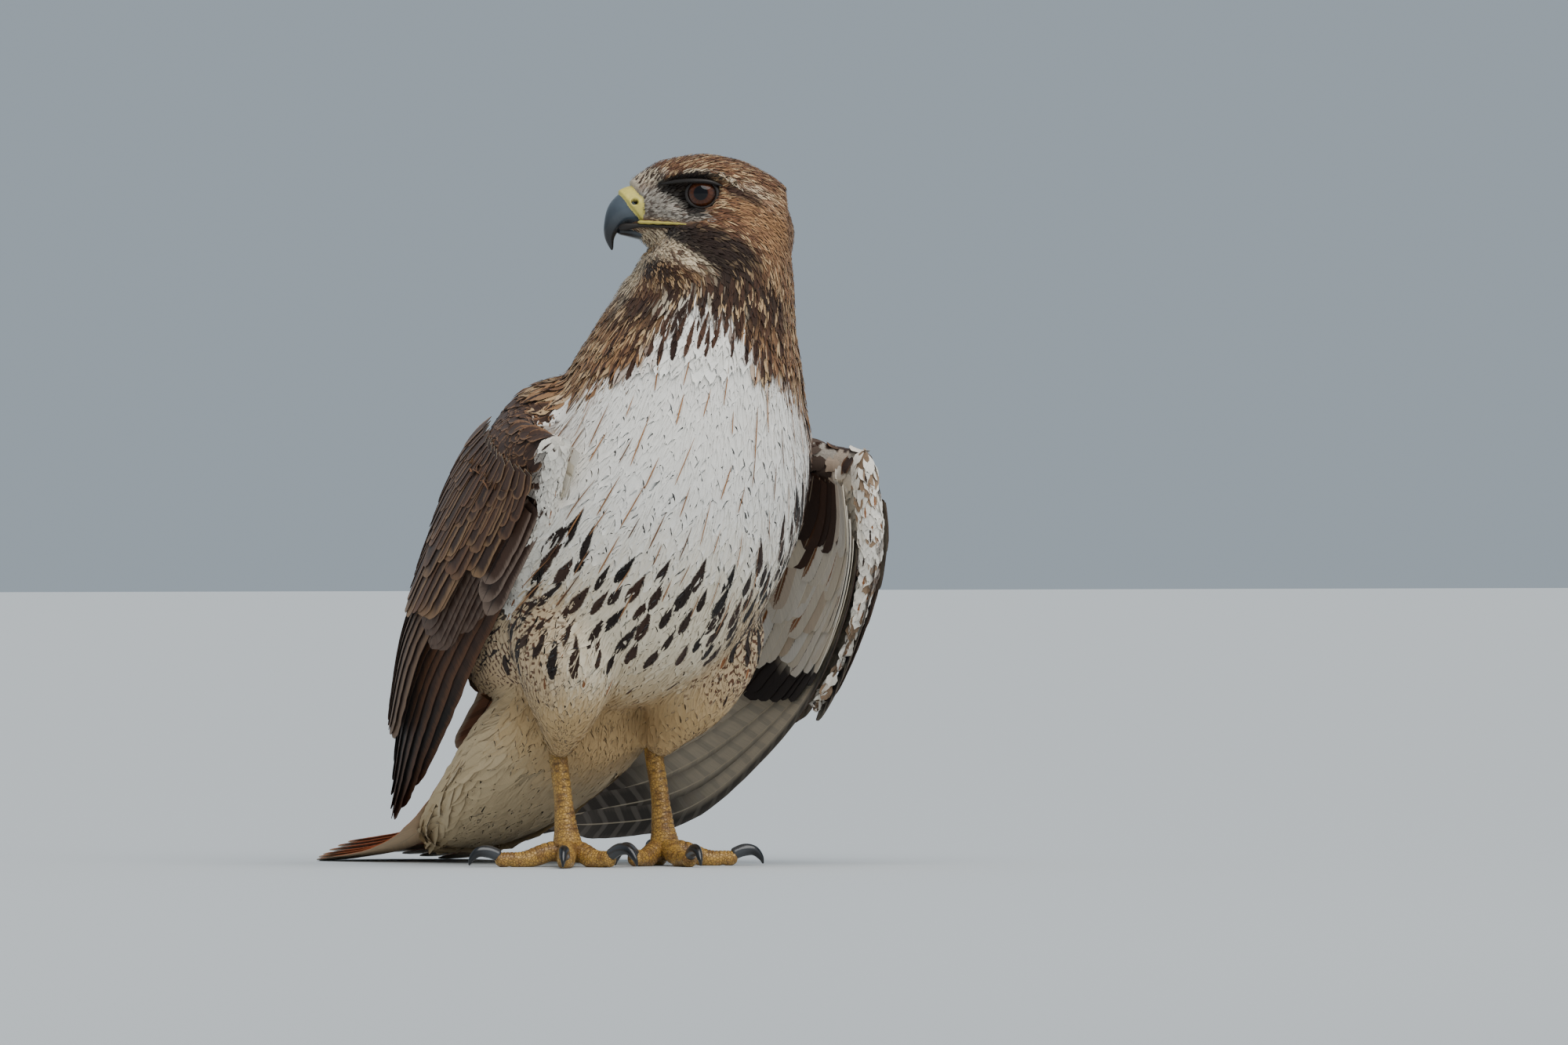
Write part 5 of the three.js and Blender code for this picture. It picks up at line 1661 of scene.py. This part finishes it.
def legs():
    for name, s in (("left", 1), ("right", -1)):
        v, f, place = limb(
            mirrored(SHANK_LINE, s), SHANK_SIZE, around=36, along=150, ends=(0.1, 0.05),
            swell=lambda t, angle: 0.28 * (scutes(t, angle) - 0.6) * step(0.0, 0.5, np.sin(angle)),
        )
        # painted shade in the grooves between the large plates down the front of the shank
        tip_tone_and_hollow_shade = step(0.35, 0.0, scutes(*place.T)) * step(0.0, 0.5, np.sin(place[:, 1]))
        bare_part(f"tarsus_{name}_skin", v, f, SCALES, (f"tarsus_{name}",), tip_tone_and_hollow_shade)
        (fx, fy), heading, side = FEET[name]
        toes, toe_groove_shade = [], []
        for toe, (length, turn, thick, claw) in TOES.items():
            def place_it(p):
                return turned(p, math.radians(heading + side * turn)) + np.array([fx, fy, 0])

            line = [
                (-2, 0, 9), (length * 0.28, 0, 7.4), (length * 0.6, 0, thick - 0.2),
                (length * 0.82, 0, thick), (length, 0, thick - 0.3),
            ]
            size = [
                (5.6, 6), (thick + 0.8, thick + 1.2), (thick + 0.5, thick + 0.5), (thick - 0.4, thick - 0.2),
                (thick, thick),
            ]
            plates = length / 2.3

            def swell(t, angle):
                top = step(0.1, 0.6, np.sin(angle))
                pads = step(0.1, 0.7, -np.sin(angle)) * (0.5 * np.sin(t * length / 9 * np.pi) ** 2 - 0.2)
                return 0.3 * (np.abs(np.sin(np.pi * t * plates)) - 0.6) * top + pads

            v, f, place = limb(line, size, side=(0, 1, 0), around=30, along=110, swell=swell)
            v[:, 2] = np.maximum(v[:, 2], 0.05)
            toes.append((place_it(v), f))
            # painted shade in the grooves between the plates on top of each toe
            wave = np.abs(np.sin(np.pi * place[:, 0] * plates))
            toe_groove_shade.append(step(0.4, 0.0, wave) * step(0.1, 0.6, np.sin(place[:, 1])))
            arc = claw / 25
            claw_line = [
                (length - 3, 0, thick + 1.6), (length + 4 * arc, 0, thick + 5 * arc),
                (length + 10.5 * arc, 0, thick + 4.6 * arc), (length + 15 * arc, 0, thick + 0.2),
                (length + 16.5 * arc, 0, 0.9),
            ]
            claw_size = [(2.9, 3), (2.8, 3.2), (2.2, 2.6), (1.3, 1.5), (0.4, 0.4)]
            v, f, place = limb(claw_line, claw_size, side=(0, 1, 0), around=24, along=40, ends=(0.06, 0.03))
            bare_part(
                f"claw_{name}_{toe}_horn", place_it(v), f, CLAW, (f"claw_{name}_{toe}",),
                step(0.1, 0.6, place[:, 0]),
            )
        v, f = merged(toes)
        bare_part(f"foot_{name}_skin", v, f, SCALES, (f"foot_{name}",), np.concatenate(toe_groove_shade))


CERE_LINE = [(29, 0, 2.4), (36, 0, 2.6), (41, 0, 2.2), (45, 0, 0.4)]
CERE_SIZE = [(14.5, 13.5), (12.6, 12.2), (10.2, 10.9), (8.6, 9)]
MOUTH_SIZE = [(1.2, 1.1), (1.0, 0.8), (0.7, 0.6), (0.4, 0.3)]


def bill():
    v, f, place = limb(BILL_LINE, BILL_SIZE, side=(0, 1, 0), around=64, along=110, ends=(0.05, 0.04))
    cut = CERE_FACE[0] * v[:, 0] + CERE_FACE[1] * v[:, 2] - CERE_FACE[2]
    f = np.array(f)
    bare_part(
        "bill_upper_horn", head_to_bird(v), f[cut[f].mean(1) > -2.5], HORN, ("bill_upper",),
        step(0.22, 0.8, place[:, 0]),
    )
    # The soft cere stands a little proud of the horn, with a nostril in each side, the inside of each painted
    # near black as shade
    v, f, place = limb(CERE_LINE, CERE_SIZE, side=(0, 1, 0), around=96, along=80, ends=(0.1, 0.02))
    f = np.array(f)
    cut = CERE_FACE[0] * v[:, 0] + CERE_FACE[1] * v[:, 2] - CERE_FACE[2]
    out = unit(v - Curve(CERE_LINE).at(place[:, 0]))
    soft = v - out * (1.5 * step(-0.7, 0.5, cut))[:, None]
    hole = (
        np.sqrt(((soft[:, 0] - NOSTRIL[0] - 1.2) / 1.9) ** 2 + ((soft[:, 2] - NOSTRIL[2]) / 1.5) ** 2)
        + (np.abs(soft[:, 1]) < 5) * 9
    )
    soft = (
        soft - out * (2.6 * step(1.0, 0.6, hole) - 0.3 * step(1.9, 1.3, hole) * step(0.9, 1.1, hole))[:, None]
    )
    # painted shade: near black inside each nostril
    bare_part(
        "cere_skin", head_to_bird(soft), f[cut[f].mean(1) < 1.0], CERE, ("cere",),
        step(1.05, 0.75, hole),
    )
    v, f, place = limb(JAW_LINE, JAW_SIZE, side=(0, 1, 0), around=32, along=40)
    bare_part(
        "bill_lower_horn", head_to_bird(v), f, HORN, ("bill_lower",), step(0.2, 0.8, place[:, 0]),
    )
    for name, s in (("left", 1), ("right", -1)):
        line = [(x, s * (y + 0.4), z + 0.5) for x, y, z in GAPE_LINE]
        v, f, _ = limb(
            line, MOUTH_SIZE, side=(0, 1, 0), around=18, along=40, swell=lambda t, a: 0.12 * np.sin(t * 40),
        )
        bare_part(f"gape_{name}_skin", head_to_bird(v), f, GAPE, (f"gape_{name}",))
        line = (
            [(47, s * 4.6, -7.6), (43, s * 7.4, -7.0)]
            + [(x - 0.6, s * (y - 0.1), z - 1.3) for x, y, z in GAPE_LINE]
        )
        v, f, _ = limb(line, [(0.6, 1.6), (1.2, 1.8)] + MOUTH_SIZE, side=(0, 1, 0), around=14, along=30)
        bare_part(f"mouth_{name}_edge", head_to_bird(v), f, LID)
        # The ridge over each eye, its near black partly painted shade of the overhang
        line = [
            (27, s * 17.6, 14.4), (20, s * 22.6, 15.5), (12, s * 27.2, 15.9), (4, s * 29.9, 15.4),
            (-3, s * 30.3, 13.2),
        ]
        v, f, _ = limb(
            line, [(0.5, 0.5), (1.9, 1.1), (2.5, 1.3), (2.1, 1.2), (0.7, 0.6)], side=(0, 1, 0), around=24,
            along=50,
        )
        bare_part(f"brow_{name}_ridge", head_to_bird(v), f, BROW)


RINGS, SPOKES, LID_SIDES = 97, 72, 14
PUPIL, IRIS_EDGE = 3.75, 7.1


def eyes():
    nodes = Nodes("eye")
    eye_material = nodes.finish(nodes.attribute("base"), 0.06, 0.25, coat=0.12)
    round_ = 2 * np.pi * np.arange(SPOKES) / SPOKES
    for name, s in (("left", 1), ("right", -1)):
        centre, aim = eye_frame(s)
        x_axis = unit(np.cross(np.array([0, 0, 1.0]), aim))
        y_axis = np.cross(aim, x_axis)
        u, v = np.meshgrid(np.linspace(0, np.pi, RINGS), round_, indexing="ij")
        over_x, over_y = (np.sin(u) * np.cos(v))[..., None], (np.sin(u) * np.sin(v))[..., None]
        d = (np.cos(u)[..., None] * aim + over_x * x_axis + over_y * y_axis).reshape(-1, 3)
        off = (np.sin(u) * EYE_RADIUS).ravel() + (u.ravel() > np.pi / 2) * 20
        ray = 0.5 + 0.5 * np.sin(v.ravel() * 23) * np.sin(v.ravel() * 7)
        iris = blend(np.tile(rgb("#3a1b0e"), (len(off), 1)), rgb("#1c0d08"), step(5.2, 7.2, off))
        iris = blend(iris, rgb("#70401f"), ray * 0.4 * step(3.6, 4.6, off) * step(6.9, 5.6, off))
        colour = blend(iris, np.array([0.003, 0.003, 0.004]), step(PUPIL, PUPIL - 0.25, off))
        colour = blend(colour, rgb("#120c09"), step(IRIS_EDGE, IRIS_EDGE + 0.5, off))
        ball = head_to_bird(centre + d * EYE_RADIUS)
        item = add_mesh(f"eye_{name}_ball", ball, grid_faces(RINGS, SPOKES, wrap=True))
        paint(item, "base", colour)
        item.data.materials.append(eye_material)
        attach(item, "root")
        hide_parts(f"eye_{name}")
        # Lids: a thin ring of skin round the opening
        reach = math.sqrt(EYE_RADIUS**2 - EYE_OPENING**2)
        a, b = np.meshgrid(round_, 2 * np.pi * np.arange(LID_SIDES) / LID_SIDES, indexing="ij")
        radius = EYE_OPENING + 0.35 + 1.0 * np.cos(b)
        tall = radius * np.sin(a) * np.where(np.sin(a) > 0, 0.78, 0.9)
        ring = (
            centre + aim * reach + (radius * np.cos(a))[..., None] * x_axis + tall[..., None] * y_axis
            + (1.0 * np.sin(b))[..., None] * aim
        ).reshape(-1, 3)
        faces = grid_faces(SPOKES + 1, LID_SIDES, wrap=True) % (SPOKES * LID_SIDES)
        lid = add_mesh(f"eyelid_{name}", head_to_bird(ring), faces)
        lid.data.materials.append(LID)
        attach(lid, "root")


# The whole bird
r = regions(skin_points)
even = np.ones(len(skin_points))
base = body_colours(skin_points, r, even, even * 0.5)[0]
base = blend(base, arm_colours(skin_points, r, even, even * 0.5)[0], r["arm"])
head = head_colours(r["head_at"], even * 0.6)[0]
drops = make_drops()
near_at, near = drops.nearest_to(skin_points)
inside = in_drop(drops.local(skin_points, near_at, near * (r["head"] < 0.5) * (r["arm"] < 0.5)))
paint(skin, "base", blend(blend(base, head, r["head"]) * 0.85, drops.colour[near_at], inside * 0.9))
skin.data.materials.append(SKIN)
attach(skin, "root")
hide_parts("torso", "neck", "head", "thigh_left", "thigh_right")

body_coat(drops)
wisps(drops)
shaft_lines()
for name in wing:
    wing_feathers(name)
tail_feathers()
legs()
bill()
eyes()

# Camera, light and floor
scene = bpy.context.scene
AZIMUTH = math.radians(-35)
PIXEL = 0.0004  # metres that a pixel of the photograph stands for
PICTURE = (2000, 1333)
BIRD_X, FLOOR_Y = 785, 1105  # the pixels at which the middle of the body and the floor are
DISTANCE, SENSOR = 9.0, 36
FLOOR_HALF = 30.0
right_way = np.array([math.cos(AZIMUTH), math.sin(AZIMUTH), 0])
toward = np.array([math.sin(AZIMUTH), -math.cos(AZIMUTH), 0])
aim_at = right_way * (PICTURE[0] / 2 - BIRD_X) * PIXEL + np.array([0, 0, (FLOOR_Y - PICTURE[1] / 2) * PIXEL])
aim_at = aim_at + SHIFT / 1000
camera = bpy.data.objects.new("camera", bpy.data.cameras.new("camera"))
scene.collection.objects.link(camera)
camera.location = Vector(aim_at + toward * DISTANCE)
camera.rotation_euler = (Vector(-toward)).to_track_quat("-Z", "Y").to_euler()
camera.data.sensor_width = SENSOR
camera.data.lens = SENSOR * DISTANCE / (PICTURE[0] * PIXEL)
camera.data.clip_end = 100
scene.camera = camera


def area(name, place, size, power, colour=(1, 1, 1)):
    light = bpy.data.objects.new(name, bpy.data.lights.new(name, "AREA"))
    light.data.shape, light.data.size, light.data.energy, light.data.color = "DISK", size, power, colour
    light.location = Vector(place)
    light.rotation_euler = (Vector((0, 0, 0.2)) - Vector(place)).to_track_quat("-Z", "Y").to_euler()
    scene.collection.objects.link(light)


def from_camera(right, forward, up):
    return right_way * right - toward * forward + np.array([0, 0, up])


sun = bpy.data.objects.new("overcast sky", bpy.data.lights.new("overcast sky", "SUN"))
sun.data.energy, sun.data.angle, sun.data.color = 3.5, math.radians(60), (1.0, 0.985, 0.96)
sun.rotation_euler = Vector(from_camera(0.35, -1.0, 1.5)).to_track_quat("Z", "Y").to_euler()
scene.collection.objects.link(sun)
area("fill light", from_camera(2.2, -2.0, 1.0), 2.0, 7, (0.95, 0.97, 1.0))
world = bpy.data.worlds.new("sky")
world.use_nodes = True
sky = world.node_tree.nodes["Background"].inputs
sky["Color"].default_value, sky["Strength"].default_value = (*rgb("#bccad6"), 1), 0.66
scene.world = world

floor_mesh = bpy.data.meshes.new("floor")
corners = [(x * FLOOR_HALF, y * FLOOR_HALF, 0) for x, y in ((-1, -1), (1, -1), (1, 1), (-1, 1))]
floor_mesh.from_pydata(corners, [], [(0, 1, 2, 3)])
floor = bpy.data.objects.new("floor", floor_mesh)
scene.collection.objects.link(floor)
n = Nodes("pale floor")
floor_mesh.materials.append(n.finish(rgb("#c2c6c8"), 0.8, 0.2))
